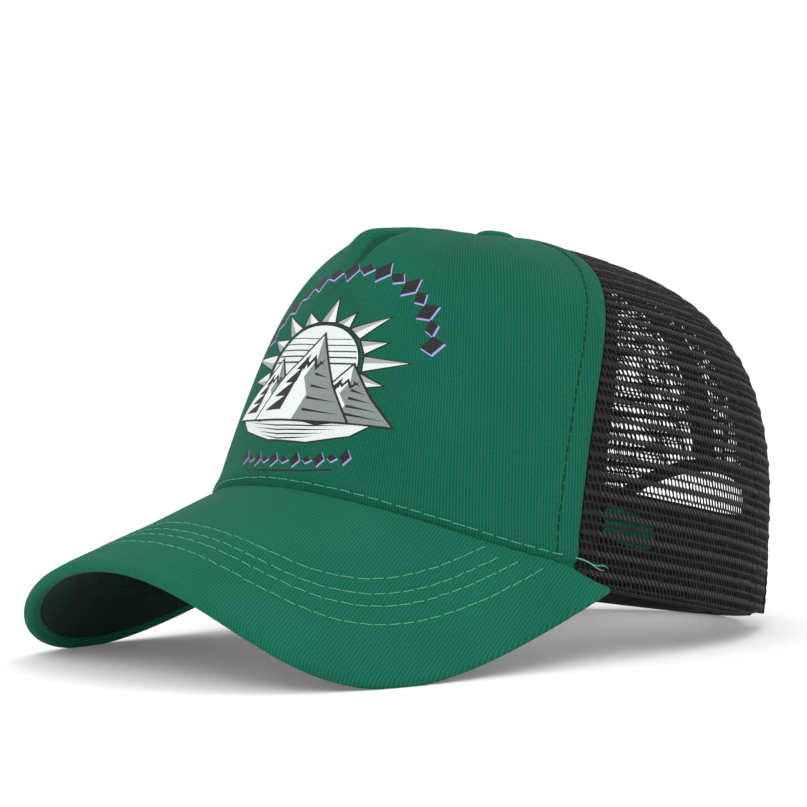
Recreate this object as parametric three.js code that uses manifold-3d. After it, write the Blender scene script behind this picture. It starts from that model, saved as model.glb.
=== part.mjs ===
// Five-panel trucker cap: cloth front panel and curved brim, net sides and rear, snap strap across the arch.
// Millimetres. The crown is described in its own frame: -Y front, +X the wearer's left, +Z up, z = 0 the hem
// oval. The group that holds it leans back by TILT and is lowered until brim and strap rest on the floor.
import * as THREE from "three";
import { mergeVertices } from "three/addons/utils/BufferGeometryUtils.js";
import Module from "manifold-3d";

const wasm = await Module();
wasm.setup();

const DEGREE = Math.PI / 180;

// Crown: an oval hem that closes to the button along a profile blended from front, side and rear.
const HEM_HALF_WIDTH = 78.7;
const HEM_HALF_LENGTH = 100.3;
const OVAL_POWER = 1.032;
const CROWN_HEIGHT = 104.2;
const APEX_Y = -15.7;
const FRONT_PROFILE = { lean: 0.3, rise: 4.8, round: 4 };
const SIDE_PROFILE = { lean: 0.013, rise: 2.18, round: 2.9 };
const REAR_PROFILE = { lean: 0.034, rise: 3.83, round: 3.55 };

// Stance of the whole cap.
const TILT = 11.1 * DEGREE;
const FLOOR_PRESS = 0.25;

// Panel seams, as angles round the crown from the front; the front seams lean back towards the button.
const FRONT_SEAM = 69 * DEGREE;
const FRONT_SEAM_LEAN = 17.6 * DEGREE;
const SIDE_SEAM = 120 * DEGREE;
const REAR_SEAM = 180 * DEGREE;
const SEAM_GAP = 0.16 * DEGREE;
const SIDE_HEM_DROP = 4;
const HEM_LEVEL = -1;
const HEM_DROP_CENTRE = 95 * DEGREE;
const HEM_DROP_SPREAD = 30 * DEGREE;

// Radii about the button, as parts of the hem oval, at which the layers stop.
const PANEL_TOP = 0.05;
const LINING_TOP = 0.1;
const TAPE_TOP = 0.125;

// Layers, as depths inwards from the crown's outer face.
const CLOTH = 0.9;
const TAPE_DEPTH = 1.35;
const TAPE_THICKNESS = 0.6;
const LINING_DEPTH = 1.2;
const LINING_THICKNESS = 1.3;
const BAND_DEPTH = 3.7;
const BAND_THICKNESS = 1.5;
const BAND_HEIGHT = 31;
const TAPE_HALF_ANGLE = 4.3 * DEGREE;
const LINING_SHARE = 11 / 12;
const HEM_INSET = 0.4;
const TAPE_OVERRUN = 0.6;
const BAND_OVERRUN = 1.5 * DEGREE;
const BEND_SPACING = 45;
const PATH_STEPS = 160;

// Rear arch and its binding.
const ARCH_HALF_ANGLE = 36 * DEGREE;
const ARCH_HEIGHT = 49;
const HEM_PER_RADIAN = 86;
const BINDING_LEG = 3.2;
const BINDING_CENTRE = 0.45;
const BINDING_OUTER = 1.35;
const BINDING_INNER = 0.8;

// Brim: a strip of a cylinder that slopes forward from the crown, with a boxy oval outline.
const BRIM_ROOT_Z = 10.6;
const BRIM_PITCH = 29.15 * DEGREE;
const BRIM_RADIUS = 85.8;
const BRIM_LENGTH = 55.7;
const BRIM_HALF_WIDTH = 97.6;
const BRIM_ROUND = 3.98;
const BRIM_HORN_Y = -49.4;
const BRIM_SEAM_REACH = 74 * DEGREE;
const BRIM_TOP = 1;
const BRIM_BOTTOM = -2.8;
const BRIM_COVER = 0.7;
const BRIM_LAYER_GAP = 0.2;
const BRIM_END_THINNING = 0.58;
const BRIM_HORN_START = 0.84;
const BRIM_HORN_CLOSING = 0.72;
const BRIM_WRAP = 3.8;
const BOARD_INSET = 0.5;
const CROWN_CLEARANCE = 0.35;

// Snap strap: two halves hinged on tabs sewn in at the arch's corners.
const STRAP_HINGE = 33.05 * DEGREE;
const STRAP_ROOT = 32.6 * DEGREE;
const TAB_END = 33.5 * DEGREE;
const TAB_START = 47 * DEGREE;
const STRAP_PAST_CENTRE = 10.5 * DEGREE;
const STRAP_ROOT_DEPTH = 2.2;
const STRAP_THICKNESS = 1.2;
const STRAP_OUTER_DEPTH = 1;
const STRAP_INNER_DEPTH = 2.45;
const STRAP_MIDDLE_Z = 6.3;
const STRAP_HALF_HEIGHT = 8.3;
const SNAP_STEP = 6.9 * DEGREE;
const SNAP_COUNT = 5;
const HOLE_RADIUS = 2.6;
const PIN_RADIUS = 1.7;
const PIN_PROUD = 1.6;
const PIN_ROOT = 0.6;
const HOLE_OVERRUN = 3;
const STRAP_END_HALF_HEIGHT = 0.6;
const TAB_SHARE = 0.85;
const SNAP_SIDES = 20;

// Covered button.
const BUTTON_RADIUS = 7;
const BUTTON_RISE = 3.6;
const BUTTON_BACK_RADIUS = 6.5;
const BUTTON_BACK_DROP = 3;
const BUTTON_BACK_THICKNESS = 0.9;
const BUTTON_POST_RADIUS = 1.5;
const BUTTON_LIFT = 0.35;
const BUTTON_EDGE = 0.8;
const BUTTON_SIDES = 28;

// A block under the floor, which cuts the pieces that rest on it flat.
const FLOOR_SPAN = 400;
const FLOOR_DEPTH = 50;

const MATERIALS = {
  green_twill: { color: 0x1f6a52, roughness: 0.9 },
  brim_lining: { color: 0x1c2d28, roughness: 0.9 },
  black_net: { color: 0x242424, roughness: 0.85 },
  black_tape: { color: 0x1a1a1a, roughness: 0.85 },
  white_buckram: { color: 0xd8d6cf, roughness: 0.95 },
  sweatband_cloth: { color: 0x202020, roughness: 0.95 },
  brim_board: { color: 0xc9c9c4, roughness: 0.6 },
  strap_plastic: { color: 0x121212, roughness: 0.4 },
  button_metal: { color: 0xa8a8a8, roughness: 0.35 },
};

function mix(from, to, part) {
  return from + (to - from) * part;
}

function signedPower(value, power) {
  return Math.sign(value) * Math.abs(value) ** power;
}

function evenly(count) {
  return Array.from({ length: count + 1 }, (_, i) => i / count);
}

// The crown's outer face at an angle round it and a part u of its height.
function profileAt(phi) {
  const front = Math.max(0, Math.cos(phi)) ** 2;
  const rear = Math.max(0, -Math.cos(phi)) ** 2;
  const side = 1 - front - rear;
  const blend = (key) => (
    FRONT_PROFILE[key] * front + SIDE_PROFILE[key] * side + REAR_PROFILE[key] * rear
  );
  return { lean: blend("lean"), rise: blend("rise"), round: blend("round") };
}

function spreadAt(phi, u) {
  const { lean, rise, round } = profileAt(phi);
  const closing = Math.max(0, 1 - Math.max(0, u) ** rise) ** (1 / round);
  return (1 - lean * u) * closing;
}

function facePoint(phi, u) {
  const spread = spreadAt(phi, u);
  const x = HEM_HALF_WIDTH * signedPower(Math.sin(phi), OVAL_POWER);
  const y = -HEM_HALF_LENGTH * signedPower(Math.cos(phi), OVAL_POWER);
  return new THREE.Vector3(spread * x, APEX_Y + spread * (y - APEX_Y), CROWN_HEIGHT * u);
}

function crownPoint(phi, u, depth = 0) {
  const turn = 1e-3;
  const climb = Math.min(1e-3, (1 - u) * 0.3);
  const along = facePoint(phi + turn, u).sub(facePoint(phi - turn, u));
  const up = facePoint(phi, u + climb).sub(facePoint(phi, u - climb));
  const outward = along.cross(up).normalize();
  return facePoint(phi, u).addScaledVector(outward, -depth);
}

// The height part at which the crown has closed to a given part of the hem oval.
function heightAtSpread(phi, spread) {
  let low = 0.5;
  let high = 1;
  for (let step = 0; step < 50; step += 1) {
    const middle = (low + high) / 2;
    if (spreadAt(phi, middle) > spread) low = middle;
    else high = middle;
  }
  return low;
}

// The crown's frame inside the standing cap.
const crown = new THREE.Group();
crown.rotation.x = -TILT;
crown.updateMatrix();

function stand(point) {
  return point.clone().applyMatrix4(crown.matrix);
}

// Brim surface: across and forward are measured on the flat pattern, lift is outwards from it.
function brimPoint(across, forward, lift) {
  const angle = across / BRIM_RADIUS;
  const rise = (BRIM_RADIUS + lift) * Math.cos(angle) - BRIM_RADIUS;
  return new THREE.Vector3(
    (BRIM_RADIUS + lift) * Math.sin(angle),
    -HEM_HALF_LENGTH - forward * Math.cos(BRIM_PITCH) - rise * Math.sin(BRIM_PITCH),
    BRIM_ROOT_Z - forward * Math.sin(BRIM_PITCH) + rise * Math.cos(BRIM_PITCH),
  );
}

function brimOutline(theta, inset) {
  const back = -(HEM_HALF_LENGTH + BRIM_HORN_Y) / Math.cos(BRIM_PITCH);
  const sine = Math.sin(theta);
  const cosine = Math.max(0, Math.cos(theta));
  const reach = (Math.abs(sine) ** BRIM_ROUND + cosine ** BRIM_ROUND) ** (-1 / BRIM_ROUND);
  return {
    across: (BRIM_HALF_WIDTH - inset) * reach * sine,
    forward: back + (BRIM_LENGTH - inset - back) * reach * cosine,
  };
}

// Where the brim's surface, lifted by lift, meets the crown at an angle round it.
function brimMeetsCrown(phi, lift) {
  let u = 0;
  let meeting = { across: 0, forward: 0, u };
  for (let step = 0; step < 40; step += 1) {
    const wall = crownPoint(phi, u, -CROWN_CLEARANCE);
    const angle = Math.asin(wall.x / (BRIM_RADIUS + lift));
    const rise = (BRIM_RADIUS + lift) * Math.cos(angle) - BRIM_RADIUS;
    const forward = (-HEM_HALF_LENGTH - wall.y - rise * Math.sin(BRIM_PITCH)) / Math.cos(BRIM_PITCH);
    const height = BRIM_ROOT_Z - forward * Math.sin(BRIM_PITCH) + rise * Math.cos(BRIM_PITCH);
    u = height / CROWN_HEIGHT;
    meeting = { across: BRIM_RADIUS * angle, forward, u };
  }
  return meeting;
}

// The crown's lower edge: on the brim's underside in front, a hem that sags a little at the sides.
function hemHeight(phi) {
  const angle = Math.abs(phi);
  const sag = SIDE_HEM_DROP * Math.exp(-(((angle - HEM_DROP_CENTRE) / HEM_DROP_SPREAD) ** 4));
  const hem = HEM_LEVEL - sag;
  if (angle > BRIM_SEAM_REACH) return hem;
  return Math.max(hem, brimMeetsCrown(angle, BRIM_BOTTOM).u * CROWN_HEIGHT);
}

function insetHem(phi) {
  return hemHeight(phi) + HEM_INSET;
}

function archHeight(phi, margin) {
  const halfAngle = ARCH_HALF_ANGLE + margin / HEM_PER_RADIAN;
  const part = (Math.PI - Math.abs(phi)) / halfAngle;
  if (part >= 1) return HEM_LEVEL;
  return HEM_LEVEL + (ARCH_HEIGHT + margin) * Math.sqrt(1 - part * part);
}

function frontSeam(u) {
  return FRONT_SEAM + FRONT_SEAM_LEAN * Math.max(0, u) ** 3;
}

// A closed solid between two grids of points, outer[row][column] and inner[row][column].
function shell(outer, inner) {
  const rows = outer.length;
  const columns = outer[0].length;
  const points = [...outer.flat(), ...inner.flat()];
  const inside = rows * columns;
  const faces = [];
  const quad = (a, b, c, d) => faces.push(a, b, c, a, c, d);
  for (let i = 0; i + 1 < rows; i += 1) {
    for (let j = 0; j + 1 < columns; j += 1) {
      const a = i * columns + j;
      quad(a, a + 1, a + columns + 1, a + columns);
      quad(inside + a, inside + a + columns, inside + a + columns + 1, inside + a + 1);
    }
  }
  for (let j = 0; j + 1 < columns; j += 1) {
    const last = (rows - 1) * columns + j;
    quad(j + 1, j, inside + j, inside + j + 1);
    quad(last, last + 1, inside + last + 1, inside + last);
  }
  for (let i = 0; i + 1 < rows; i += 1) {
    const left = i * columns;
    const right = left + columns - 1;
    quad(left, left + columns, inside + left + columns, inside + left);
    quad(right + columns, right, inside + right, inside + right + columns);
  }
  return closedGeometry(points, faces);
}

function signedVolume(points, faces) {
  let volume = 0;
  for (let i = 0; i < faces.length; i += 3) {
    const [a, b, c] = [points[faces[i]], points[faces[i + 1]], points[faces[i + 2]]];
    volume += a.dot(b.clone().cross(c));
  }
  return volume / 6;
}

function closedGeometry(points, faces) {
  const facing = signedVolume(points, faces) < 0 ? faces.slice().reverse() : faces;
  return new THREE.BufferGeometry().setFromPoints(points).setIndex(facing);
}

// Geometries to solids and back, for the pieces that are cut or joined.
function solidFrom(geometry) {
  const bare = geometry.clone();
  bare.deleteAttribute("normal");
  bare.deleteAttribute("uv");
  const merged = mergeVertices(bare, 1e-5);
  const corners = Array.from(merged.index.array);
  const triVerts = [];
  for (let i = 0; i < corners.length; i += 3) {
    const [a, b, c] = corners.slice(i, i + 3);
    if (a !== b && b !== c && c !== a) triVerts.push(a, b, c);
  }
  const mesh = new wasm.Mesh({
    numProp: 3,
    vertProperties: new Float32Array(merged.attributes.position.array),
    triVerts: new Uint32Array(triVerts),
  });
  return new wasm.Manifold(mesh);
}

function geometryFrom(solid) {
  const { vertProperties, triVerts } = solid.getMesh();
  const geometry = new THREE.BufferGeometry();
  geometry.setAttribute("position", new THREE.BufferAttribute(vertProperties, 3));
  return geometry.setIndex(new THREE.BufferAttribute(triVerts, 1));
}

function floorBlock() {
  const block = new THREE.BoxGeometry(FLOOR_SPAN, FLOOR_SPAN, FLOOR_DEPTH).translate(0, 0, -FLOOR_DEPTH / 2);
  return solidFrom(block.applyMatrix4(crown.matrix.clone().invert()));
}

// Crown layer: columns run from the lower edge to the top, with rows closer together where the cloth bends.
function crownLayer({ from, to, bottom, top, depth, thickness, rows, columns }) {
  const outer = rows.map(() => []);
  const inner = rows.map(() => []);
  for (const part of columns) {
    const angleAt = (u) => mix(from(u), to(u), part);
    const path = columnPath(angleAt, bottom(angleAt(0)) / CROWN_HEIGHT, top);
    rows.forEach((row, i) => {
      const { phi, u } = path(row);
      outer[i].push(crownPoint(phi, u, depth));
      inner[i].push(crownPoint(phi, u, depth + thickness));
    });
  }
  return shell(outer, inner);
}

function columnPath(angleAt, startHeight, top) {
  const endHeight = typeof top === "number" ? heightAtSpread(angleAt(1), top) : top(startHeight);
  const samples = [];
  let length = 0;
  let previous = null;
  let heading = null;
  for (let step = 0; step <= PATH_STEPS; step += 1) {
    const eased = 1 - (1 - step / PATH_STEPS) ** 3;
    const u = mix(startHeight, endHeight, eased);
    const phi = angleAt(u);
    const point = facePoint(phi, u);
    if (previous) {
      const stride = point.clone().sub(previous);
      length += stride.length() + (heading ? BEND_SPACING * heading.angleTo(stride) : 0);
      heading = stride;
    }
    previous = point;
    samples.push({ phi, u, length });
  }
  return (part) => {
    const wanted = part * length;
    const next = Math.max(1, samples.findIndex((sample) => sample.length >= wanted - 1e-9));
    const [a, b] = [samples[next - 1], samples[next]];
    const along = (wanted - a.length) / (b.length - a.length);
    return { phi: mix(a.phi, b.phi, along), u: mix(a.u, b.u, along) };
  };
}

function frontPanel() {
  return crownLayer({
    from: (u) => -frontSeam(u) + SEAM_GAP,
    to: (u) => frontSeam(u) - SEAM_GAP,
    bottom: hemHeight,
    top: PANEL_TOP,
    depth: 0,
    thickness: CLOTH,
    rows: evenly(14),
    columns: evenly(24),
  });
}

function frontLining() {
  return crownLayer({
    from: (u) => -frontSeam(u) * LINING_SHARE,
    to: (u) => frontSeam(u) * LINING_SHARE,
    bottom: insetHem,
    top: LINING_TOP,
    depth: LINING_DEPTH,
    thickness: LINING_THICKNESS,
    rows: evenly(14),
    columns: evenly(22),
  });
}

function netSide(side) {
  return crownLayer({
    from: (u) => side * (frontSeam(u) + SEAM_GAP),
    to: () => side * (SIDE_SEAM - SEAM_GAP),
    bottom: hemHeight,
    top: PANEL_TOP,
    depth: 0,
    thickness: CLOTH,
    rows: evenly(14),
    columns: evenly(8),
  });
}

function netRear(side) {
  const start = SIDE_SEAM + SEAM_GAP;
  const end = REAR_SEAM - SEAM_GAP;
  const corner = REAR_SEAM - ARCH_HALF_ANGLE - CROWN_CLEARANCE / HEM_PER_RADIAN;
  const hemColumns = evenly(4).map((part) => mix(start, corner, part));
  const archTurns = evenly(12).map((part) => part * Math.PI / 2);
  const archColumns = archTurns.map((turn) => REAR_SEAM - (REAR_SEAM - corner) * Math.cos(turn));
  const angles = [...hemColumns, ...archColumns.slice(1, -1), end];
  return crownLayer({
    from: () => side * start,
    to: () => side * end,
    bottom: (phi) => (Math.abs(phi) < corner ? hemHeight(phi) : archHeight(phi, CROWN_CLEARANCE)),
    top: PANEL_TOP,
    depth: 0,
    thickness: CLOTH,
    rows: evenly(12),
    columns: angles.map((angle) => (angle - start) / (end - start)),
  });
}

function seamTape(centre, bottom) {
  return crownLayer({
    from: (u) => centre(u) - TAPE_HALF_ANGLE,
    to: (u) => centre(u) + TAPE_HALF_ANGLE,
    bottom,
    top: TAPE_TOP,
    depth: TAPE_DEPTH,
    thickness: TAPE_THICKNESS,
    rows: evenly(14),
    columns: evenly(2),
  });
}

function sweatband() {
  const reach = REAR_SEAM - ARCH_HALF_ANGLE + BAND_OVERRUN;
  return crownLayer({
    from: () => -reach,
    to: () => reach,
    bottom: insetHem,
    top: (start) => start + BAND_HEIGHT / CROWN_HEIGHT,
    depth: BAND_DEPTH,
    thickness: BAND_THICKNESS,
    rows: evenly(2),
    columns: evenly(38),
  });
}

// U-shaped tape folded over the arch's edge, from corner to corner.
function archBinding() {
  const foldTurns = evenly(4).map((part) => part * Math.PI);
  const section = (radius) => [
    { margin: BINDING_LEG, depth: BINDING_CENTRE - radius },
    ...foldTurns.map((turn) => ({
      margin: -radius * Math.sin(turn),
      depth: BINDING_CENTRE - radius * Math.cos(turn),
    })),
    { margin: BINDING_LEG, depth: BINDING_CENTRE + radius },
  ];
  const sweep = evenly(24).map((part) => part * Math.PI);
  const grid = (radius) => section(radius).map(({ margin, depth }) => sweep.map((turn) => {
    const phi = REAR_SEAM - (ARCH_HALF_ANGLE + margin / HEM_PER_RADIAN) * Math.cos(turn);
    const height = HEM_LEVEL + (ARCH_HEIGHT + margin) * Math.sin(turn);
    return crownPoint(phi, height / CROWN_HEIGHT, depth);
  }));
  return shell(grid(BINDING_OUTER), grid(BINDING_INNER));
}

// Brim layers: section rows run from the crown outwards, columns from horn to horn.
function brimThinning(part) {
  return 1 - BRIM_END_THINNING * Math.abs(part) ** 8;
}

// Towards its ends the brim leaves the crown and narrows to a point.
function hornClosing(part) {
  const reach = Math.max(0, (Math.abs(part) - BRIM_HORN_START) / (1 - BRIM_HORN_START));
  return BRIM_HORN_CLOSING * reach ** 3;
}

function brimRow(part, along, lift, inset) {
  const thin = brimThinning(part);
  const thinned = (value) => BRIM_TOP + (value - BRIM_TOP) * thin;
  const seam = brimMeetsCrown(part * BRIM_SEAM_REACH, thinned(lift));
  const edge = brimOutline(part * Math.PI / 2, inset * thin);
  const outwards = mix(along, 1, hornClosing(part));
  const across = mix(seam.across, edge.across, outwards);
  const forward = mix(seam.forward, edge.forward, outwards);
  return brimPoint(across, forward, thinned(lift));
}

function brimGrid(section) {
  const parts = evenly(32).map((part) => 2 * part - 1);
  return section.map(({ along, lift, inset }) => parts.map((part) => brimRow(part, along, lift, inset)));
}

function slabSection(lift, inset, rows) {
  return evenly(rows).map((along) => ({ along, lift, inset }));
}

function brimTopCover() {
  const middle = (BRIM_TOP + BRIM_BOTTOM) / 2;
  const turns = evenly(6).map((part) => part * Math.PI);
  const section = (radius) => [
    ...evenly(7).slice(0, -1).map((along) => ({ along, lift: middle + radius, inset: 0 })),
    ...turns.map((turn) => ({
      along: 1,
      lift: middle + radius * Math.cos(turn),
      inset: -radius * Math.sin(turn),
    })),
    { along: 1, lift: middle - radius, inset: BRIM_WRAP },
  ];
  const radius = (BRIM_TOP - BRIM_BOTTOM) / 2;
  const cover = shell(brimGrid(section(radius)), brimGrid(section(radius - BRIM_COVER)));
  return geometryFrom(solidFrom(cover).subtract(floorBlock()));
}

function brimBoard() {
  const top = BRIM_TOP - BRIM_COVER - BRIM_LAYER_GAP;
  const bottom = BRIM_BOTTOM + BRIM_COVER + BRIM_LAYER_GAP;
  return shell(brimGrid(slabSection(top, BOARD_INSET, 5)), brimGrid(slabSection(bottom, BOARD_INSET, 5)));
}

function brimUnderCover() {
  const inset = BRIM_WRAP + BRIM_LAYER_GAP;
  return shell(
    brimGrid(slabSection(BRIM_BOTTOM + BRIM_COVER, inset, 5)),
    brimGrid(slabSection(BRIM_BOTTOM, inset, 5)),
  );
}

// Strap halves: side +1 is the outer half with holes, side -1 the inner half with pins.
function strapDepth(side, fromCentre) {
  const overlap = side > 0 ? STRAP_OUTER_DEPTH : STRAP_INNER_DEPTH;
  const part = Math.min(1, Math.max(0, (STRAP_ROOT - fromCentre) / (STRAP_ROOT - STRAP_PAST_CENTRE)));
  const eased = part * part * (3 - 2 * part);
  return mix(STRAP_ROOT_DEPTH, overlap, eased);
}

function strapPoint(side, fromCentre, z, depth) {
  const phi = REAR_SEAM - side * fromCentre;
  const rim = crownPoint(phi, 0, depth);
  rim.z = z;
  return rim;
}

function strapBlank(side) {
  const endRadians = STRAP_HALF_HEIGHT / HEM_HALF_WIDTH;
  const endTurns = evenly(5).map((part) => part * Math.PI / 2);
  const roundEnd = endTurns.map((turn) => -STRAP_PAST_CENTRE + endRadians * (1 - Math.cos(turn)));
  const straight = evenly(14).slice(1).map((part) => mix(-STRAP_PAST_CENTRE + endRadians, STRAP_ROOT, part));
  const heights = [-1, -0.4, 0.4, 1];
  const grid = (extra) => heights.map((height) => [...roundEnd, ...straight].map((fromCentre) => {
    const intoEnd = Math.min(1, (fromCentre + STRAP_PAST_CENTRE) / endRadians);
    const half = Math.max(STRAP_END_HALF_HEIGHT, STRAP_HALF_HEIGHT * Math.sqrt(1 - (1 - intoEnd) ** 2));
    return strapPoint(side, fromCentre, STRAP_MIDDLE_Z + half * height, strapDepth(side, fromCentre) + extra);
  }));
  return solidFrom(shell(grid(0), grid(STRAP_THICKNESS))).subtract(floorBlock());
}

// A cylinder across the strap at one snap position, from depth to depth.
function snapCylinder(side, fromCentre, radius, outerDepth, innerDepth) {
  const outer = strapPoint(side, fromCentre, STRAP_MIDDLE_Z, outerDepth);
  const inner = strapPoint(side, fromCentre, STRAP_MIDDLE_Z, innerDepth);
  const length = outer.y - inner.y;
  const cylinder = new THREE.CylinderGeometry(radius, radius, length, SNAP_SIDES);
  return solidFrom(cylinder.translate(inner.x, inner.y + length / 2, inner.z));
}

function strapOuter() {
  let strap = strapBlank(1);
  for (let snap = 0; snap < SNAP_COUNT; snap += 1) {
    const fromCentre = (snap - 1) * SNAP_STEP;
    const depth = strapDepth(1, fromCentre);
    const far = depth + STRAP_THICKNESS + HOLE_OVERRUN;
    strap = strap.subtract(snapCylinder(1, fromCentre, HOLE_RADIUS, depth - HOLE_OVERRUN, far));
  }
  return geometryFrom(strap);
}

function strapInner() {
  let strap = strapBlank(-1);
  for (let snap = 0; snap < SNAP_COUNT; snap += 1) {
    const fromCentre = (snap - 1) * SNAP_STEP;
    const depth = strapDepth(-1, fromCentre);
    strap = strap.add(snapCylinder(-1, fromCentre, PIN_RADIUS, depth - PIN_PROUD, depth + PIN_ROOT));
  }
  return geometryFrom(strap);
}

function strapTab(side) {
  const angles = evenly(6).map((part) => mix(TAB_END, TAB_START, part));
  const heights = [-TAB_SHARE, 0, TAB_SHARE];
  const grid = (extra) => heights.map((height) => angles.map((fromCentre) => (
    strapPoint(side, fromCentre, STRAP_MIDDLE_Z + STRAP_HALF_HEIGHT * height, STRAP_ROOT_DEPTH + extra)
  )));
  return shell(grid(0), grid(STRAP_THICKNESS));
}

// Turned pieces about the crown's axis, from a profile of [radius, height above the crown's top].
function turned(profile) {
  const outline = profile.map(([radius, height]) => new THREE.Vector2(radius, height));
  const lathe = new THREE.LatheGeometry(outline, BUTTON_SIDES).rotateX(Math.PI / 2);
  return geometryFrom(solidFrom(lathe));
}

function buttonCap() {
  const dome = evenly(5).map((part) => {
    const turn = part * Math.PI / 2;
    return [BUTTON_RADIUS * Math.cos(turn), BUTTON_LIFT + BUTTON_EDGE + BUTTON_RISE * Math.sin(turn)];
  });
  return turned([[0, BUTTON_LIFT], [BUTTON_RADIUS - 0.7, BUTTON_LIFT], ...dome]);
}

function buttonBack() {
  const bottom = -BUTTON_BACK_DROP - BUTTON_BACK_THICKNESS;
  return turned([
    [0, bottom],
    [BUTTON_BACK_RADIUS - 0.4, bottom],
    [BUTTON_BACK_RADIUS, -BUTTON_BACK_DROP - 0.4],
    [BUTTON_BACK_RADIUS - 0.2, -BUTTON_BACK_DROP],
    [BUTTON_POST_RADIUS, -BUTTON_BACK_DROP],
    [BUTTON_POST_RADIUS, BUTTON_LIFT - 0.2],
    [0, BUTTON_LIFT - 0.2],
  ]);
}

// Drop the cap to the floor, and centre its length on the origin.
function settle() {
  const parts = evenly(200).map((part) => 2 * part - 1);
  const lip = parts.flatMap((part) => [0, 1, 2, 3, 4].map((step) => {
    const turn = step * Math.PI / 4;
    const radius = (BRIM_TOP - BRIM_BOTTOM) / 2;
    const lift = (BRIM_TOP + BRIM_BOTTOM) / 2 + radius * Math.cos(turn);
    return stand(brimRow(part, 1, lift, -radius * Math.sin(turn)));
  }));
  const floorShift = Math.min(...lip.map((point) => point.z)) + FLOOR_PRESS;
  const frontEnd = Math.min(...lip.map((point) => point.y));
  const rearDepth = BINDING_CENTRE - BINDING_OUTER;
  const archTop = evenly(6).map((part) => {
    const height = HEM_LEVEL + ARCH_HEIGHT + BINDING_LEG * part;
    return stand(crownPoint(REAR_SEAM, height / CROWN_HEIGHT, rearDepth)).y;
  });
  crown.position.set(0, -(frontEnd + Math.max(...archTop)) / 2, -floorShift);
  crown.updateMatrix();
}

const group = new THREE.Group();
group.name = "trucker_cap";
group.add(crown);

function addPart(name, slot, geometry) {
  geometry.computeVertexNormals();
  const material = new THREE.MeshStandardMaterial(MATERIALS[slot]);
  material.name = slot;
  const mesh = new THREE.Mesh(geometry, material);
  mesh.name = name;
  crown.add(mesh);
  return mesh;
}

settle();
addPart("front_panel", "green_twill", frontPanel());
addPart("front_lining", "white_buckram", frontLining());
addPart("brim_top_cover", "green_twill", brimTopCover());
addPart("brim_board", "brim_board", brimBoard());
addPart("brim_under_cover", "brim_lining", brimUnderCover());
addPart("sweatband", "sweatband_cloth", sweatband());
addPart("arch_binding", "black_tape", archBinding());
addPart("button_cap", "green_twill", buttonCap()).position.set(0, APEX_Y, CROWN_HEIGHT);
addPart("button_back", "button_metal", buttonBack()).position.set(0, APEX_Y, CROWN_HEIGHT);
addPart("strap_left", "strap_plastic", strapOuter());
addPart("strap_right", "strap_plastic", strapInner());
const archTapeEnd = HEM_LEVEL + ARCH_HEIGHT + BINDING_LEG + TAPE_OVERRUN;
addPart("tape_rear", "black_tape", seamTape(() => REAR_SEAM, () => archTapeEnd));
for (const [label, side] of [["left", 1], ["right", -1]]) {
  addPart(`net_side_${label}`, "black_net", netSide(side));
  addPart(`net_rear_${label}`, "black_net", netRear(side));
  addPart(`tape_front_${label}`, "black_tape", seamTape((u) => side * frontSeam(u), insetHem));
  addPart(`tape_side_${label}`, "black_tape", seamTape(() => side * SIDE_SEAM, insetHem));
  addPart(`strap_tab_${label}`, "strap_plastic", strapTab(side));
}

export default group;
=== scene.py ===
import math

import bmesh
import bpy
import numpy as np
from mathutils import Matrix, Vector
from mathutils.geometry import delaunay_2d_cdt


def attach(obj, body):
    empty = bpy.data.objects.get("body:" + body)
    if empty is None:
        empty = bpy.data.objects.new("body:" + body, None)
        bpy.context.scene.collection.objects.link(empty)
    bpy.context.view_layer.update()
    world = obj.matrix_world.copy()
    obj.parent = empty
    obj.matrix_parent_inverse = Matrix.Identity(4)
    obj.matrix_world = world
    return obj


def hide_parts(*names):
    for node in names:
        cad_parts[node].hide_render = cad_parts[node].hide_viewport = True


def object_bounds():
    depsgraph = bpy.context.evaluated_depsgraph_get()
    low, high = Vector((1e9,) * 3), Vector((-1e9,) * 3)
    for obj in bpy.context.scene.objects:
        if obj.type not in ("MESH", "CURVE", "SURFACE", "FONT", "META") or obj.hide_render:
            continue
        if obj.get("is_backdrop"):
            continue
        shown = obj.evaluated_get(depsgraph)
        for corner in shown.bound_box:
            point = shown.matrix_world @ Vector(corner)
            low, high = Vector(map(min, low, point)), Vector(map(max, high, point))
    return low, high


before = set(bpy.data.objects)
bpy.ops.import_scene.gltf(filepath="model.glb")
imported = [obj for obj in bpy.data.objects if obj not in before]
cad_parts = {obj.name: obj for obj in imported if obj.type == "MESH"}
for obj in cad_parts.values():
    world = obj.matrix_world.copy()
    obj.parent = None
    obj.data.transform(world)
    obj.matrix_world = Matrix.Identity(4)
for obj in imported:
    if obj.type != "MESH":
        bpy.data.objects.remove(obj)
cad_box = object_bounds()
scene = bpy.context.scene

DEGREE = math.pi / 180
MM = 0.001
SIDES = (("left", 1), ("right", -1))

# Crown surface. A profile is (lean, rise, roundness).
HEM_HALF_WIDTH = 78.7
HEM_HALF_LENGTH = 100.3
OVAL_POWER = 1.032
CROWN_HEIGHT = 104.2
APEX_Y = -15.7
FRONT_PROFILE = np.array([0.3, 4.8, 4.0])
SIDE_PROFILE = np.array([0.013, 2.18, 2.9])
REAR_PROFILE = np.array([0.034, 3.83, 3.55])
TILT = 11.1 * DEGREE
CENTRE_SHIFT = -22.856383
FLOOR_SHIFT = -20.802240

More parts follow.
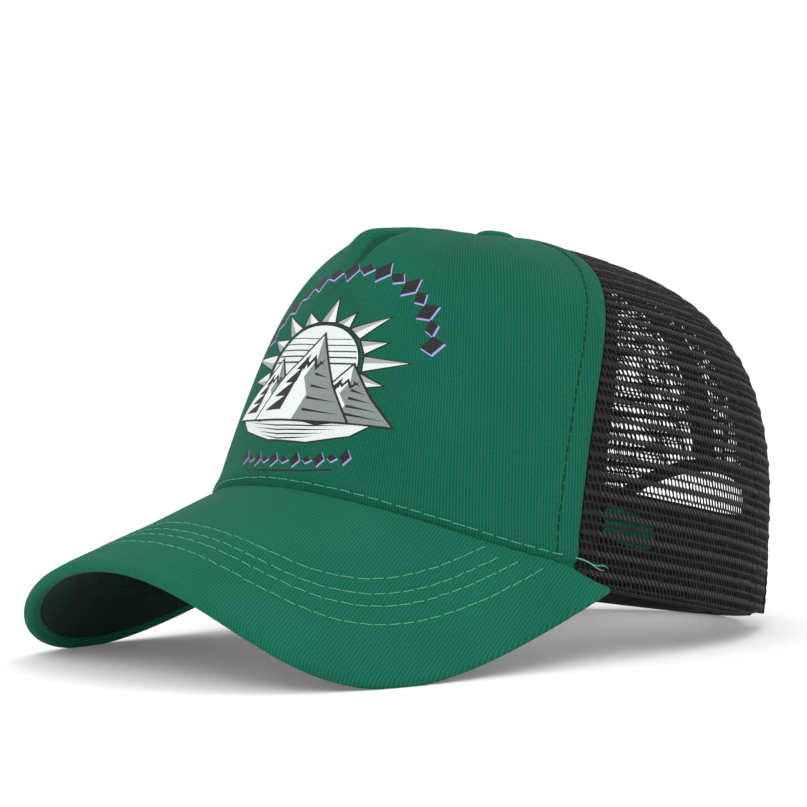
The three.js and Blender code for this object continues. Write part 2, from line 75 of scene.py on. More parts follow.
# Seams, hem and arch.
FRONT_SEAM = 69 * DEGREE
FRONT_SEAM_LEAN = 17.6 * DEGREE
SIDE_SEAM = 120 * DEGREE
REAR_SEAM = 180 * DEGREE
SEAM_GAP = 0.16 * DEGREE
HEM_LEVEL = -1.0
SIDE_HEM_DROP = 4.0
HEM_DROP_CENTRE = 95 * DEGREE
HEM_DROP_SPREAD = 30 * DEGREE
PANEL_TOP = 0.05
LINING_TOP = 0.1
TAPE_TOP = 0.125
ARCH_HALF_ANGLE = 36 * DEGREE
ARCH_HEIGHT = 49.0
HEM_PER_RADIAN = 86.0
PATTERN_PER_RADIAN = 88.0
FLAT_REACH = 150.0
CLOTH = 0.9

# Front cloth and its stiff lining. A hump is (height, centre, width).
RIB_UPRIGHT = 48 * DEGREE
RIB_LEAN = 0.1
DART_WIDTH = 2 * DEGREE
DART_HUMPS = ((-1.5, 0.0, 1.5), (1.5, -6.0, 4.5), (0.5, 6.5, 5.0))
DART_CORNER = 2.7
DART_CORNER_ACROSS = (-8.0, 14.0)
DART_CORNER_UP = (95.0, 4.6)
BASE_HUMPS = ((0.95, 3.2, 3.4), (-0.3, 2.2, 0.55), (-1.15, 0.1, 0.9))
FELL_WIDTH = 5.6
FELL_RISE = 0.45
FELL_GROOVE = 0.28
SEAM_ROLL = 0.55
TOP_SAG = 1.4
LINING_REACH = 11 / 12
LINING_HEM = 0.4
LINING_DEPTHS = (1.25, 2.35)

# Brim surface.
BRIM_ROOT_Z = 10.6
BRIM_PITCH = 29.15 * DEGREE
BRIM_RADIUS = 85.8
BRIM_LENGTH = 55.7
BRIM_HALF_WIDTH = 97.6
BRIM_ROUND = 3.98
BRIM_HORN_Y = -49.4
BRIM_SEAM_REACH = 74 * DEGREE
BRIM_TOP = 1.0
BRIM_BOTTOM = -2.8
BRIM_END_THINNING = 0.58
BRIM_HORN_START = 0.84
BRIM_HORN_CLOSING = 0.9
BRIM_WRAP = 2.2
BRIM_STITCH_INSETS = (28.8, 24.0, 20.15, 14.66)
BRIM_MIDDLE = (BRIM_TOP + BRIM_BOTTOM) / 2
BRIM_EDGE_RADIUS = (BRIM_TOP - BRIM_BOTTOM) / 2
BRIM_CLOTH = 0.7
LINING_OVERLAP = 0.2
CHANNEL_FULLNESS = 0.14
CHANNEL_PITCH = 4.7
CHANNEL_GROOVE = 0.26
BOARD_INSET = 1.0
BOARD_DEPTH = 0.78
CROWN_CLEARANCE = 0.35

# Stitch rows: pitch, gap, thread radius and sway. A loose tail is (reach, drop, waviness).
BRIM_STITCH = (4.5, 0.15, 0.16, 0.18)
BASE_STITCH = (4.4, 0.3, 0.15, 0.1)
SEAM_STITCH = (3.0, 0.2, 0.2, 0.12)
TAPE_STITCH = (3.0, 0.4, 0.17, 0.04)
BAND_STITCH = (3.4, 0.45, 0.18, 0.05)
BINDING_STITCH = (3.0, 0.4, 0.17, 0.03)
BASE_STITCH_RISE = 2.2
THREAD_SIDES = 6
TAIL_START = FRONT_SEAM - 0.8 * DEGREE
TAIL_RADIUS = 0.17
TAILS = ((6.0 * DEGREE, 2.4, 6.0), (6.8 * DEGREE, 2.0, 9.0))

# Knitted net. A ring of a cell is (share of the way to the hole, lift, share of the ripple).
CELL_WIDTH = 1.62
CELL_HEIGHT = 2.95
HOLE_HALF_WIDTH = 0.63
HOLE_HALF_HEIGHT = 1.1
HOLE_SLANT = 0.3
ROW_STAGGER = 0.45
ROW_PAIRING = 0.09
CELL_RINGS = ((0, -0.04, 0), (0.5, -0.02, 1), (1, -0.2, 1), (1, -0.36, 1), (0, -0.52, 0))
LOOP_HALF_LENGTH = 0.8
LOOP_SLANT = 0.6
LOOP_RADIUS = 0.3
LOOP_SINK = 0.14
PLAIN_EDGE = 3.4
HOLE_JITTER = 0.045
HOLE_WIDTH_SPREAD = 0.09
NET_RIPPLE = 0.05

# Tapes, sweatband, arch binding, turned hem and seam allowance.
TAPE_HALF_ANGLE = 4.3 * DEGREE
TAPE_DEPTHS = (1.38, 1.85)
TAPE_PUFF = 0.3
TAPE_STITCH_ROW = 0.66
TAPE_HEM = 0.4
ARCH_TAPE_GAP = 3.8
BAND_HEIGHT = 31.0
BAND_THICKNESS = 1.5
BAND_DEPTH = 3.72
BAND_STITCH_DEPTH = 5.3
BAND_ROWS = (3.0, 27.5)
BINDING_WIDTH = 3.2
BINDING_MIDDLE = 0.45
BINDING_FOLDS = ((1.3, 0.14), (0.82, 0.0))
BINDING_ROW = 2.1
BINDING_ROW_LIFT = 1.4
ARCH_PER_RADIAN = 52.0
ROLL_HALF_HEIGHT = 0.55
ROLL_DEPTH = 1.75
ROLL_HALF_DEPTH = 1.95
ALLOWANCE_START = 74.2
ALLOWANCE_LENGTH = 11.5
ALLOWANCE_HALF_HEIGHT = 5.2
ALLOWANCE_LEVEL = 16.5
ALLOWANCE_DROP = 3.5
ALLOWANCE_DEPTHS = (1.35, 2.1)

# Button.
BUTTON_RADIUS = 7.0
BUTTON_RISE = 3.05
BUTTON_SEAT = 0.35
BUTTON_UNDERSIDE = 0.3
BUTTON_GATHERS = 17
BUTTON_CLOTH_RADIUS = 10.5
BUTTON_PLATE_Y = 27.5

# Strap.
STRAP_ROOT = 32.6 * DEGREE
STRAP_PAST_CENTRE = 10.5 * DEGREE
STRAP_MIDDLE_Z = 6.3
STRAP_HALF_HEIGHT = 8.3
STRAP_THICKNESS = 1.2
STRAP_ROOT_DEPTH = 2.2
STRAP_OUTER_DEPTH = 1.0
STRAP_INNER_DEPTH = 2.45
SNAP_STEP = 6.9 * DEGREE
SNAP_COUNT = 5
HOLE_RADIUS = 2.6
COLLAR_WIDTH = 0.95
REARWARD = np.array([0, math.cos(TILT), -math.sin(TILT)])
PIN_RADIUS = 1.7
PIN_HEAD_RADIUS = 2.0
STRAP_RIM = 0.22
STRAP_EDGE = 0.93
TAB_REACH = (33.5, 47)
TAB_HEIGHT = 0.85

# Print: stretch and shift of the emblem, then its parts before they are stretched. Peaks are (middle, top,
# half width), their outlines are shares of half width and height, and an ink is (name, colour, lift).
EMBLEM = ((1.18, 1.04), (2.5, 1.0))
SUN_Z = 47.0
SUN_HALF_SIZE = (15.6, 14.2)
RAY_COUNT = 18
RAY_LENGTHS = ((29.5, 22.5), (24.5, 19.0))
RAY_FOOT = (17.5, 15.5)
RAY_HALF_ANGLE = 0.14
PEAKS = ((-12, 50, 15), (14.5, 49, 15.5), (1, 58, 17))
PEAK_FOOT = 32.0
FACE_RIGHT = ((1, 0), (0.52, 0.42), (0.3, 0.66))
FACE_LEFT = ((-0.26, 0.7), (-0.56, 0.45))
RIDGE = ((0, 1), (0.05, 0.72), (-0.08, 0.5), (0.1, 0.3), (-0.02, 0))
SNOW_LINE = (
    (-0.2, 0.74), (-0.08, 0.6), (0, 0.7), (0.09, 0.58), (0.24, 0.72), (0.09, 0.65), (0, 0.77), (-0.08, 0.67),
)
HILL = (
    (-26, 33.5), (-14, 31.2), (-3, 33), (9, 30.6), (27, 33.6), (20, 28.2), (8, 25.6), (-6, 25.8), (-19, 28.4),
)
HILL_STROKE = ((-1, 0), (-0.2, -0.8), (0.4, -0.35), (1, 0.1), (0.4, -0.75), (-0.2, -1.2))
EMBLEM_INKS = (
    ("black", (0.006, 0.007, 0.008), 0.05), ("pale", (0.66, 0.71, 0.68), 0.09),
    ("grey", (0.3, 0.33, 0.32), 0.12), ("line", (0.01, 0.011, 0.012), 0.15),
)
PEAK_INKS = (
    ("outline", (0.006, 0.007, 0.008), 0.18), ("lit", (0.7, 0.75, 0.72), 0.2),
    ("shade", (0.2, 0.225, 0.215), 0.22), ("strokes", (0.008, 0.009, 0.01), 0.24),
)
TALLEST_LIFT = 0.06
EDGE_VIOLET = (0.3, 0.3, 0.62)
MARK_LIFT = 0.07
EDGE_LIFT = 0.03
ARC_COUNT = 15
ARC_LOZENGE = (3.0, (3.4, 1.9))
ROW_LOZENGE = (1.75, (2.3, 1.15))
ARC_CENTRE = (6.0, 50.5)
ARC_RADII = (37.0, 33.0)
ROW_COUNT = 11
ROW_LEVEL = 21.6
RULE_LEVEL = 17.6
RULE_WIDTH = 0.55
ROW_BEND = 3
FILL_STEP = 1.2
EDGE_STEP = 1.1

# Camera and lights, in metres: a light is (name, place, size, power).
CAMERA_PLACE = (0.65712, -0.599065, 0.10091)
CAMERA_TURN = (88.3446 * DEGREE, 0.6781 * DEGREE, 48.2414 * DEGREE)
LENS = 126.36
SENSOR = 36
FLOOR_HALF_SIZE = 6.0
FLOOR_GLOW = 0.09
SKY_STRENGTH = 1.02
LIGHT_TARGET = (0, 0, 0.05)
LIGHTS = (
    ("key", (1.3, -1.4, 1.3), 1.0, 12),
    ("side", (-1.4, -0.9, 1.0), 1.2, 1.6),
    ("top", (0.1, 0.4, 1.9), 1.2, 3.5),
)


# ---------------------------------------------------------------- crown and brim surfaces

def mix(start, end, part):
    return start + (end - start) * part


def smooth(value, low, high):
    part = np.clip((value - low) / (high - low), 0, 1)
    return part * part * (3 - 2 * part)


def hump(value, centre, width):
    """1 at the centre, falling softly to 0 on both sides."""
    return np.exp(-(((value - centre) / width) ** 2))


def humps(value, table):
    """Sum of humps, each given as (height, centre, width)."""
    return sum(height * hump(value, centre, width) for height, centre, width in table)


def halving(low, high, too_low, rounds):
    """Narrows ranges by halves; too_low says where their middle is still too low."""
    for _ in range(rounds):
        middle = (low + high) / 2
        below = too_low(middle)
        low = np.where(below, middle, low)
        high = np.where(below, high, middle)
    return low


def run_along(points, axis=0):
    """Distance run along rows of points on one axis of the array, from 0 at the first point."""
    steps = np.linalg.norm(np.diff(points, axis=axis), axis=-1)
    start = np.zeros_like(np.take(steps, [0], axis=axis))
    return np.concatenate([start, np.cumsum(steps, axis)], axis)


def signed_power(value, power):
    return np.sign(value) * np.abs(value) ** power


def spread_at(phi, u):
    """Share of the hem's oval that is left at an angle about the button and a height from 0 to 1."""
    front = np.maximum(0, np.cos(phi)) ** 2
    rear = np.maximum(0, -np.cos(phi)) ** 2
    side = 1 - front - rear
    lean, rise, round_ = (
        FRONT_PROFILE[i] * front + SIDE_PROFILE[i] * side + REAR_PROFILE[i] * rear for i in range(3)
    )
    closing = np.maximum(0, 1 - np.maximum(0, u) ** rise) ** (1 / round_)
    return (1 - lean * u) * closing


def face_point(phi, u):
    """A point of the crown's surface, in its own frame."""
    phi, u = np.broadcast_arrays(phi, u)
    spread = spread_at(phi, u)
    x = HEM_HALF_WIDTH * signed_power(np.sin(phi), OVAL_POWER)
    y = -HEM_HALF_LENGTH * signed_power(np.cos(phi), OVAL_POWER)
    return np.stack([spread * x, APEX_Y + spread * (y - APEX_Y), CROWN_HEIGHT * u], -1)


def unit(vectors):
    length = np.linalg.norm(vectors, axis=-1, keepdims=True)
    return vectors / np.maximum(length, 1e-12)


def outward(phi, u):
    """The crown's normal."""
    climb = np.minimum(1e-3, (1 - u) * 0.3)
    along = face_point(phi + 1e-3, u) - face_point(phi - 1e-3, u)
    up = face_point(phi, u + climb) - face_point(phi, u - climb)
    return unit(np.cross(along, up))


def crown(phi, u, lift=0.0):
    """A point at a lift off the crown's surface, outwards if positive."""
    phi, u, lift = np.broadcast_arrays(np.asarray(phi, float), np.asarray(u, float), lift)
    return face_point(phi, u) + outward(phi, u) * lift[..., None]


def stand(points):
    """From the crown's frame in millimetres to the standing cap in metres."""
    y = points[..., 1] * math.cos(TILT) + points[..., 2] * math.sin(TILT) - CENTRE_SHIFT
    z = points[..., 2] * math.cos(TILT) - points[..., 1] * math.sin(TILT) - FLOOR_SHIFT
    return np.stack([points[..., 0], y, np.maximum(z, 0.02)], -1) * MM


def brim_point(across, forward, lift):
    """A point over the brim's flat pattern, curled across its width."""
    angle = across / BRIM_RADIUS
    rise = (BRIM_RADIUS + lift) * np.cos(angle) - BRIM_RADIUS
    return np.stack([
        (BRIM_RADIUS + lift) * np.sin(angle),
        -HEM_HALF_LENGTH - forward * math.cos(BRIM_PITCH) - rise * math.sin(BRIM_PITCH),
        BRIM_ROOT_Z - forward * math.sin(BRIM_PITCH) + rise * math.cos(BRIM_PITCH),
    ], -1)


BRIM_BACK = -(HEM_HALF_LENGTH + BRIM_HORN_Y) / math.cos(BRIM_PITCH)


def brim_outline(theta, inset):
    """The brim's rounded outline in its flat pattern, moved in by an inset."""
    sine = np.sin(theta)
    cosine = np.maximum(0, np.cos(theta))
    reach = (np.abs(sine) ** BRIM_ROUND + cosine ** BRIM_ROUND) ** (-1 / BRIM_ROUND)
    across = (BRIM_HALF_WIDTH - inset) * reach * sine
    forward = BRIM_BACK + (BRIM_LENGTH - inset - BRIM_BACK) * reach * cosine
    return across, forward


def brim_inset(across, forward):
    """How far a point of the brim's flat pattern lies inside its outline."""
    def inside(inset):
        wide = np.abs(across) / np.maximum(BRIM_HALF_WIDTH - inset, 1)
        long = np.maximum(forward - BRIM_BACK, 0) / np.maximum(BRIM_LENGTH - inset - BRIM_BACK, 1)
        return wide ** BRIM_ROUND + long ** BRIM_ROUND < 1

    return halving(np.zeros_like(across), np.full_like(across, 80.0), inside, 30)


def brim_meets_crown(phi, lift):
    """Where a layer of the brim meets the crown's wall: flat pattern and height."""
    u = np.zeros_like(phi)
    for _ in range(40):
        wall = crown(phi, u, CROWN_CLEARANCE)
        angle = np.arcsin(wall[..., 0] / (BRIM_RADIUS + lift))
        rise = (BRIM_RADIUS + lift) * np.cos(angle) - BRIM_RADIUS
        forward = (-HEM_HALF_LENGTH - wall[..., 1] - rise * math.sin(BRIM_PITCH)) / math.cos(BRIM_PITCH)
        u = (BRIM_ROOT_Z - forward * math.sin(BRIM_PITCH) + rise * math.cos(BRIM_PITCH)) / CROWN_HEIGHT
    return BRIM_RADIUS * angle, forward, u


def brim_row(part, along, lift, inset):
    """Flat pattern and lift of a row of the brim, which thins and closes to a point at each end."""
    thin = 1 - BRIM_END_THINNING * np.abs(part) ** 8
    raised = BRIM_TOP + (lift - BRIM_TOP) * thin
    seam_across, seam_forward, _ = brim_meets_crown(part * BRIM_SEAM_REACH, raised)
    edge_across, edge_forward = brim_outline(part * math.pi / 2, inset * thin)
    horn = np.maximum(0, (np.abs(part) - BRIM_HORN_START) / (1 - BRIM_HORN_START))
    outwards = mix(along, 1, BRIM_HORN_CLOSING * horn ** 3)
    return mix(seam_across, edge_across, outwards), mix(seam_forward, edge_forward, outwards), raised


HEM_ANGLES = np.linspace(0, BRIM_SEAM_REACH, 240)
HEM_UNDER_BRIM = brim_meets_crown(HEM_ANGLES, np.full(240, BRIM_BOTTOM))[2] * CROWN_HEIGHT
BRIM_TOP_LINE = brim_meets_crown(HEM_ANGLES, np.full(240, BRIM_TOP))[2] * CROWN_HEIGHT


def hem_height(phi):
    """Lower edge of the crown, raised to the brim's underside at the front."""
    angle = np.abs(phi)
    hem = HEM_LEVEL - SIDE_HEM_DROP * np.exp(-(((angle - HEM_DROP_CENTRE) / HEM_DROP_SPREAD) ** 4))
    under_brim = np.interp(angle, HEM_ANGLES, HEM_UNDER_BRIM)
    return np.where(angle > BRIM_SEAM_REACH, hem, np.maximum(hem, under_brim))


def arch_height(phi, margin):
    """Edge of the rear arch, moved out by a margin."""
    half_angle = ARCH_HALF_ANGLE + margin / HEM_PER_RADIAN
    part = np.clip((math.pi - np.abs(phi)) / half_angle, 0, 1)
    return HEM_LEVEL + (ARCH_HEIGHT + margin) * np.sqrt(1 - part * part)


def front_seam(u):
    """Angle of the seam between front panel and side net."""
    return FRONT_SEAM + FRONT_SEAM_LEAN * np.maximum(0, u) ** 3


def height_at_spread(phi, spread):
    return halving(np.full_like(phi, 0.5), np.ones_like(phi), lambda u: spread_at(phi, u) > spread, 40)


def crown_columns(start, end, bottom, top_spread, rows, columns, bend_spacing=12.0):
    """Angles and heights of a grid whose columns climb evenly along the cloth, from its lower edge up."""
    parts = np.linspace(0, 1, columns)
    foot = mix(start(0.0), end(0.0), parts)
    low = bottom(foot) / CROWN_HEIGHT
    high = height_at_spread(mix(start(1.0), end(1.0), parts), top_spread)
    eased = 1 - (1 - np.linspace(0, 1, 400)[:, None]) ** 3
    u = mix(low, high, eased)
    phi = mix(start(u), end(u), parts)
    steps = np.diff(face_point(phi, u), axis=0)
    stride = np.linalg.norm(steps, axis=-1)
    turn = np.arccos(np.clip((unit(steps[1:]) * unit(steps[:-1])).sum(-1), -1, 1))
    weight = stride.copy()
    weight[1:] += bend_spacing * turn
    travel = np.vstack([np.zeros(columns), np.cumsum(weight, 0)])
    wanted = np.linspace(0, 1, rows)
    heights = np.stack([np.interp(wanted * travel[-1, j], travel[:, j], u[:, j]) for j in range(columns)], 1)
    return mix(start(heights), end(heights), parts), heights


class FlatPanel:
    """Flat pattern of a crown panel: millimetres across from its middle line, and up along it from z = 0."""

    def __init__(self, middle):
        evenly = 1 - (1 - np.linspace(0, 1, 500)) ** 2.2
        self.levels = evenly * 0.999999 - 0.06 * (1 - evenly)
        self.across = np.linspace(-FLAT_REACH, FLAT_REACH, 601)
        self.angles = np.linspace(-100, 100, 801) * DEGREE
        self.middle = middle
        arcs = [run_along(face_point(middle(u) + self.angles, u)) for u in self.levels]
        arcs = [arc - np.interp(0, self.angles, arc) for arc in arcs]
        self.to_phi = np.array([np.interp(self.across, arc, self.angles) for arc in arcs])
        self.to_across = np.array(arcs)
        climb = run_along(face_point(middle(self.levels), self.levels))
        self.climb = climb - np.interp(0, self.levels, climb)

    def lookup(self, table, u, position, low, high):
        row = np.interp(u, self.levels, np.arange(len(self.levels)))
        width = table.shape[1] - 1
        column = np.clip((position - low) / (high - low), 0, 1) * width
        i = np.minimum(row.astype(int), len(self.levels) - 2)
        j = np.minimum(column.astype(int), width - 1)
        di = row - i
        dj = column - j
        upper = table[i, j] * (1 - dj) + table[i, j + 1] * dj
        lower = table[i + 1, j] * (1 - dj) + table[i + 1, j + 1] * dj
        return upper * (1 - di) + lower * di

    def height(self, up):
        return np.interp(up, self.climb, self.levels)

    def angle(self, across, up):
        u = self.height(up)
        return self.middle(u) + self.lookup(self.to_phi, u, across, self.across[0], self.across[-1])

    def pattern(self, phi, u):
        """Across and up of a point of the panel, for weaves."""
        turn = phi - self.middle(u)
        across = self.lookup(self.to_across, u, turn, self.angles[0], self.angles[-1])
        return np.stack([across, np.interp(u, self.levels, self.climb)], -1)


# ---------------------------------------------------------------- meshes

def make_mesh(name, points, quads=None, tris=None, pattern=None, smooth_shading=True):
    """An object from points in metres, arrays of faces, and flat pattern coordinates in millimetres."""
    mesh = bpy.data.meshes.new(name)
    points = np.asarray(points, float).reshape(-1, 3)
    quads = np.zeros((0, 4), int) if quads is None else np.asarray(quads, int).reshape(-1, 4)
    tris = np.zeros((0, 3), int) if tris is None else np.asarray(tris, int).reshape(-1, 3)
    corners = np.concatenate([quads.ravel(), tris.ravel()])
    starts = np.concatenate([np.arange(len(quads)) * 4, len(quads) * 4 + np.arange(len(tris)) * 3])
    mesh.vertices.add(len(points))
    mesh.vertices.foreach_set("co", points.ravel())
    mesh.loops.add(len(corners))
    mesh.loops.foreach_set("vertex_index", corners)
    mesh.polygons.add(len(starts))
    mesh.polygons.foreach_set("loop_start", starts)
    if pattern is not None:
        layer = mesh.uv_layers.new(name="pattern")
        layer.data.foreach_set("uv", np.asarray(pattern, float).reshape(-1, 2)[corners].ravel())
    mesh.polygons.foreach_set("use_smooth", np.full(len(starts), smooth_shading))
    mesh.update(calc_edges=True)
    mesh.validate()
    piece = bpy.data.objects.new(name, mesh)
    scene.collection.objects.link(piece)
    return piece


def grid_quads(rows, columns, first=0, wrap_rows=False, wrap_columns=False):
    i = np.arange(rows if wrap_rows else rows - 1)
    j = np.arange(columns if wrap_columns else columns - 1)
    i, j = np.meshgrid(i, j, indexing="ij")
    below = (i + 1) % rows
    right = (j + 1) % columns
    corners = [i * columns + j, i * columns + right, below * columns + right, below * columns + j]
    return first + np.stack(corners, -1).reshape(-1, 4)


def shell(name, outer, inner, pattern):
    """A closed sheet between two grids of points [row, column]."""
    rows, columns = outer.shape[:2]
    count = rows * columns
    points = np.concatenate([outer.reshape(-1, 3), inner.reshape(-1, 3)])
    front = grid_quads(rows, columns)
    back = front[:, ::-1] + count
    edge = np.concatenate([
        np.arange(columns),
        np.arange(1, rows) * columns + columns - 1,
        (rows - 1) * columns + np.arange(columns - 2, -1, -1),
        np.arange(rows - 2, 0, -1) * columns,
    ])
    following = np.roll(edge, -1)
    rim = np.stack([following, edge, edge + count, following + count], -1)
    quads = np.concatenate([front, back, rim])
    flat = pattern.reshape(-1, 2)
    piece = make_mesh(name, stand(points), quads, pattern=np.concatenate([flat, flat]))
    return outward_faces(piece)


def outward_faces(piece):
    """Makes every face of closed bodies point out."""
    mesh = piece.data
    work = bmesh.new()
    work.from_mesh(mesh)
    bmesh.ops.recalc_face_normals(work, faces=work.faces)
    work.to_mesh(mesh)
    work.free()
    return piece


# ---------------------------------------------------------------- materials

class Finish:
    """A procedural material: nodes are added one by one in front of its Principled shader."""

    def __init__(self, name, roughness, metallic=0.0, sheen=0.0, specular=0.5):
        self.material = bpy.data.materials.new(name)
        self.material.use_nodes = True
        self.tree = self.material.node_tree
        self.shader = self.tree.nodes["Principled BSDF"]
        self.shader.inputs["Roughness"].default_value = roughness
        self.shader.inputs["Metallic"].default_value = metallic
        self.shader.inputs["Sheen Weight"].default_value = sheen
        self.shader.inputs["Sheen Roughness"].default_value = 0.5
        self.shader.inputs["Specular IOR Level"].default_value = specular

    def node(self, kind, **settings):
        node = self.tree.nodes.new(kind)
        for key, value in settings.items():
            setattr(node, key, value)
        return node

    def feed(self, socket, value):
        if isinstance(value, bpy.types.NodeSocket):
            self.tree.links.new(value, socket)
        else:
            socket.default_value = value

    def math(self, operation, first, second=0.0, clamp=False):
        node = self.node("ShaderNodeMath", operation=operation, use_clamp=clamp)
        self.feed(node.inputs[0], first)
        self.feed(node.inputs[1], second)
        return node.outputs[0]

    def pattern(self):
        """Flat pattern coordinates of the cloth, in millimetres."""
        return self.node("ShaderNodeUVMap", uv_map="pattern").outputs[0]

    def scaled(self, vector, factor):
        node = self.node("ShaderNodeVectorMath", operation="SCALE")
        self.feed(node.inputs[0], vector)
        self.feed(node.inputs["Scale"], factor)
        return node.outputs[0]

    def place(self):
        """Place on the object, in millimetres."""
        return self.scaled(self.node("ShaderNodeTexCoord").outputs["Object"], 1 / MM)

    def noise(self, where, scale, detail=2.0, stretch=(1, 1, 1)):
        mapping = self.node("ShaderNodeMapping")
        mapping.inputs["Scale"].default_value = stretch
        self.feed(mapping.inputs["Vector"], where)
        noise = self.node("ShaderNodeTexNoise")
        noise.inputs["Scale"].default_value = scale
        noise.inputs["Detail"].default_value = detail
        self.feed(noise.inputs["Vector"], mapping.outputs[0])
        return noise.outputs["Fac"]

    def split(self, where):
        node = self.node("ShaderNodeSeparateXYZ")
        self.feed(node.inputs[0], where)
        return node.outputs[0], node.outputs[1], node.outputs[2]

    def weighted(self, *terms, clamp=False):
        """The sum of (value, weight) terms, held between 0 and 1 if clamped."""
        total = self.math("MULTIPLY", *terms[0])
        for term in terms[1:]:
            last = term is terms[-1]
            total = self.math("ADD", total, self.math("MULTIPLY", *term), clamp and last)
        return total

    def turned(self, where, angle):
        x, y, _ = self.split(where)
        across = self.weighted((x, math.cos(angle)), (y, math.sin(angle)))
        along = self.weighted((y, math.cos(angle)), (x, -math.sin(angle)))
        return across, along

    def wave(self, position, pitch, shift=0.0):
        """0 to 1 and back over each pitch."""
        turns = self.math("ADD", self.math("DIVIDE", position, pitch), shift)
        return self.half(self.math("COSINE", self.math("MULTIPLY", turns, 2 * math.pi)))

    def half(self, wave):
        return self.math("ADD", self.math("MULTIPLY", wave, 0.5), 0.5)

    def blend(self, part, start, end):
        node = self.node("ShaderNodeMix", data_type="RGBA", clamp_factor=True)
        self.feed(node.inputs[0], part)
        self.feed(node.inputs[6], (*start, 1) if isinstance(start, tuple) else start)
        self.feed(node.inputs[7], (*end, 1) if isinstance(end, tuple) else end)
        return node.outputs[2]

    def shaded(self, colour, low, high, part):
        """Makes a colour darker or lighter by a factor that runs from low to high."""
        return self.scaled(colour, self.math("ADD", self.math("MULTIPLY", part, high - low), low))

    def finish(self, colour, height, strength, depth_mm):
        self.feed(self.shader.inputs["Base Color"], colour)
        bump = self.node("ShaderNodeBump")
        bump.inputs["Strength"].default_value = strength
        bump.inputs["Distance"].default_value = depth_mm * MM
        self.feed(bump.inputs["Height"], height)
        self.feed(self.shader.inputs["Normal"], bump.outputs[0])
        return self.material


def twill(name, dark, light, angle, pitch, thread, depth=0.16, contrast=0.5, waver=0.35):
    """Cotton twill: ribs at an angle to the pattern, each made of short slanted threads."""
    finish = Finish(name, 0.9, sheen=0.02, specular=0.07)
    where = finish.pattern()
    across, along = finish.turned(where, angle)
    sway = finish.math("MULTIPLY", finish.noise(where, 0.22, 3), waver)
    ribs = finish.math("ADD", finish.math("DIVIDE", across, pitch), sway)
    rib = finish.half(finish.math("COSINE", finish.math("MULTIPLY", ribs, 2 * math.pi)))
    step = finish.math("MULTIPLY", finish.math("FLOOR", finish.math("ADD", ribs, 0.5)), 0.38)
    threads = finish.wave(along, thread, step)
    fibres = finish.noise(where, 5.5, 4)
    height = finish.weighted((rib, 0.7), (threads, 0.22), (fibres, 0.25))
    slubs = finish.math("SUBTRACT", finish.noise(where, 1.7, 3), 0.5)
    tones = ((rib, contrast), (threads, 0.14), (fibres, 0.9 - contrast), (slubs, 1.1))
    tone = finish.weighted(*tones, clamp=True)
    colour = finish.shaded(finish.blend(tone, dark, light), 0.86, 1.14, finish.noise(where, 0.035, 3))
    return finish.finish(colour, height, 0.7, depth)


def ink(name, colour):
    """Print ink on cotton twill: the ribs still show through it."""
    finish = Finish(name, 0.62, specular=0.35)
    where = finish.pattern()
    x, _, _ = finish.split(where)
    rib = finish.wave(finish.math("ADD", x, finish.math("MULTIPLY", finish.noise(where, 0.22, 3), 1.2)), 1.35)
    grain = finish.noise(where, 3.5, 4)
    tint = finish.shaded(colour, 0.92, 1.08, finish.weighted((rib, 0.4), (grain, 0.6)))
    return finish.finish(tint, finish.weighted((rib, 0.5), (grain, 0.5)), 0.5, 0.1)


def thread_finish(name, colour):
    """Sewing thread: a slanted twist of plies along each stitch."""
    finish = Finish(name, 0.7, sheen=0.05, specular=0.25)
    where = finish.pattern()
    across, _ = finish.turned(where, 35 * DEGREE)
    plies = finish.wave(across, 0.42)
    tone = finish.weighted((plies, 0.5), (finish.noise(where, 8, 3), 0.5))
    return finish.finish(finish.shaded(colour, 0.75, 1.2, tone), plies, 0.6, 0.08)


def knit_finish(name, dark, light):
    """Polyester net yarn: bundles of fine filaments."""
    finish = Finish(name, 0.7, sheen=0.02, specular=0.2)
    where = finish.place()
    filaments = finish.noise(where, 3.2, 4, (1, 1, 0.35))
    colour = finish.shaded(finish.blend(filaments, dark, light), 0.8, 1.2, finish.noise(where, 0.25, 2))
    return finish.finish(colour, filaments, 0.5, 0.12)


def tape_finish(name, dark, light, pitch):
    """Woven tape: fine ribs across it, and a herringbone of threads."""
    finish = Finish(name, 0.85, sheen=0.02, specular=0.15)
    where = finish.pattern()
    x, y, _ = finish.split(where)
    slant = finish.wave(finish.math("ADD", y, finish.math("PINGPONG", x, 1.6)), pitch * 1.4)
    height = finish.weighted((finish.wave(y, pitch), 0.4), (slant, 0.5))
    tone = finish.weighted((height, 0.6), (finish.noise(where, 5, 3), 0.5))
    colour = finish.shaded(finish.blend(tone, dark, light), 0.85, 1.15, finish.noise(where, 0.08, 2))
    return finish.finish(colour, height, 0.6, 0.12)


def buckram_finish():
    """Stiffened open-weave lining: a grid of threads with darker gaps filled with size."""
    finish = Finish("buckram", 0.85, specular=0.25)
    where = finish.pattern()
    x, y, _ = finish.split(where)
    warp = finish.wave(finish.math("ADD", x, finish.noise(where, 0.5, 2)), 1.1)
    weft = finish.wave(finish.math("ADD", y, finish.noise(where, 0.4, 2)), 1.1)
    grid = finish.math("MAXIMUM", warp, weft)
    tone = finish.weighted((grid, 0.65), (finish.noise(where, 1.6, 4), 0.4), clamp=True)
    colour = finish.blend(tone, (0.46, 0.45, 0.42), (0.8, 0.79, 0.75))
    colour = finish.shaded(colour, 0.9, 1.08, finish.noise(where, 0.05, 2))
    return finish.finish(colour, grid, 0.6, 0.25)


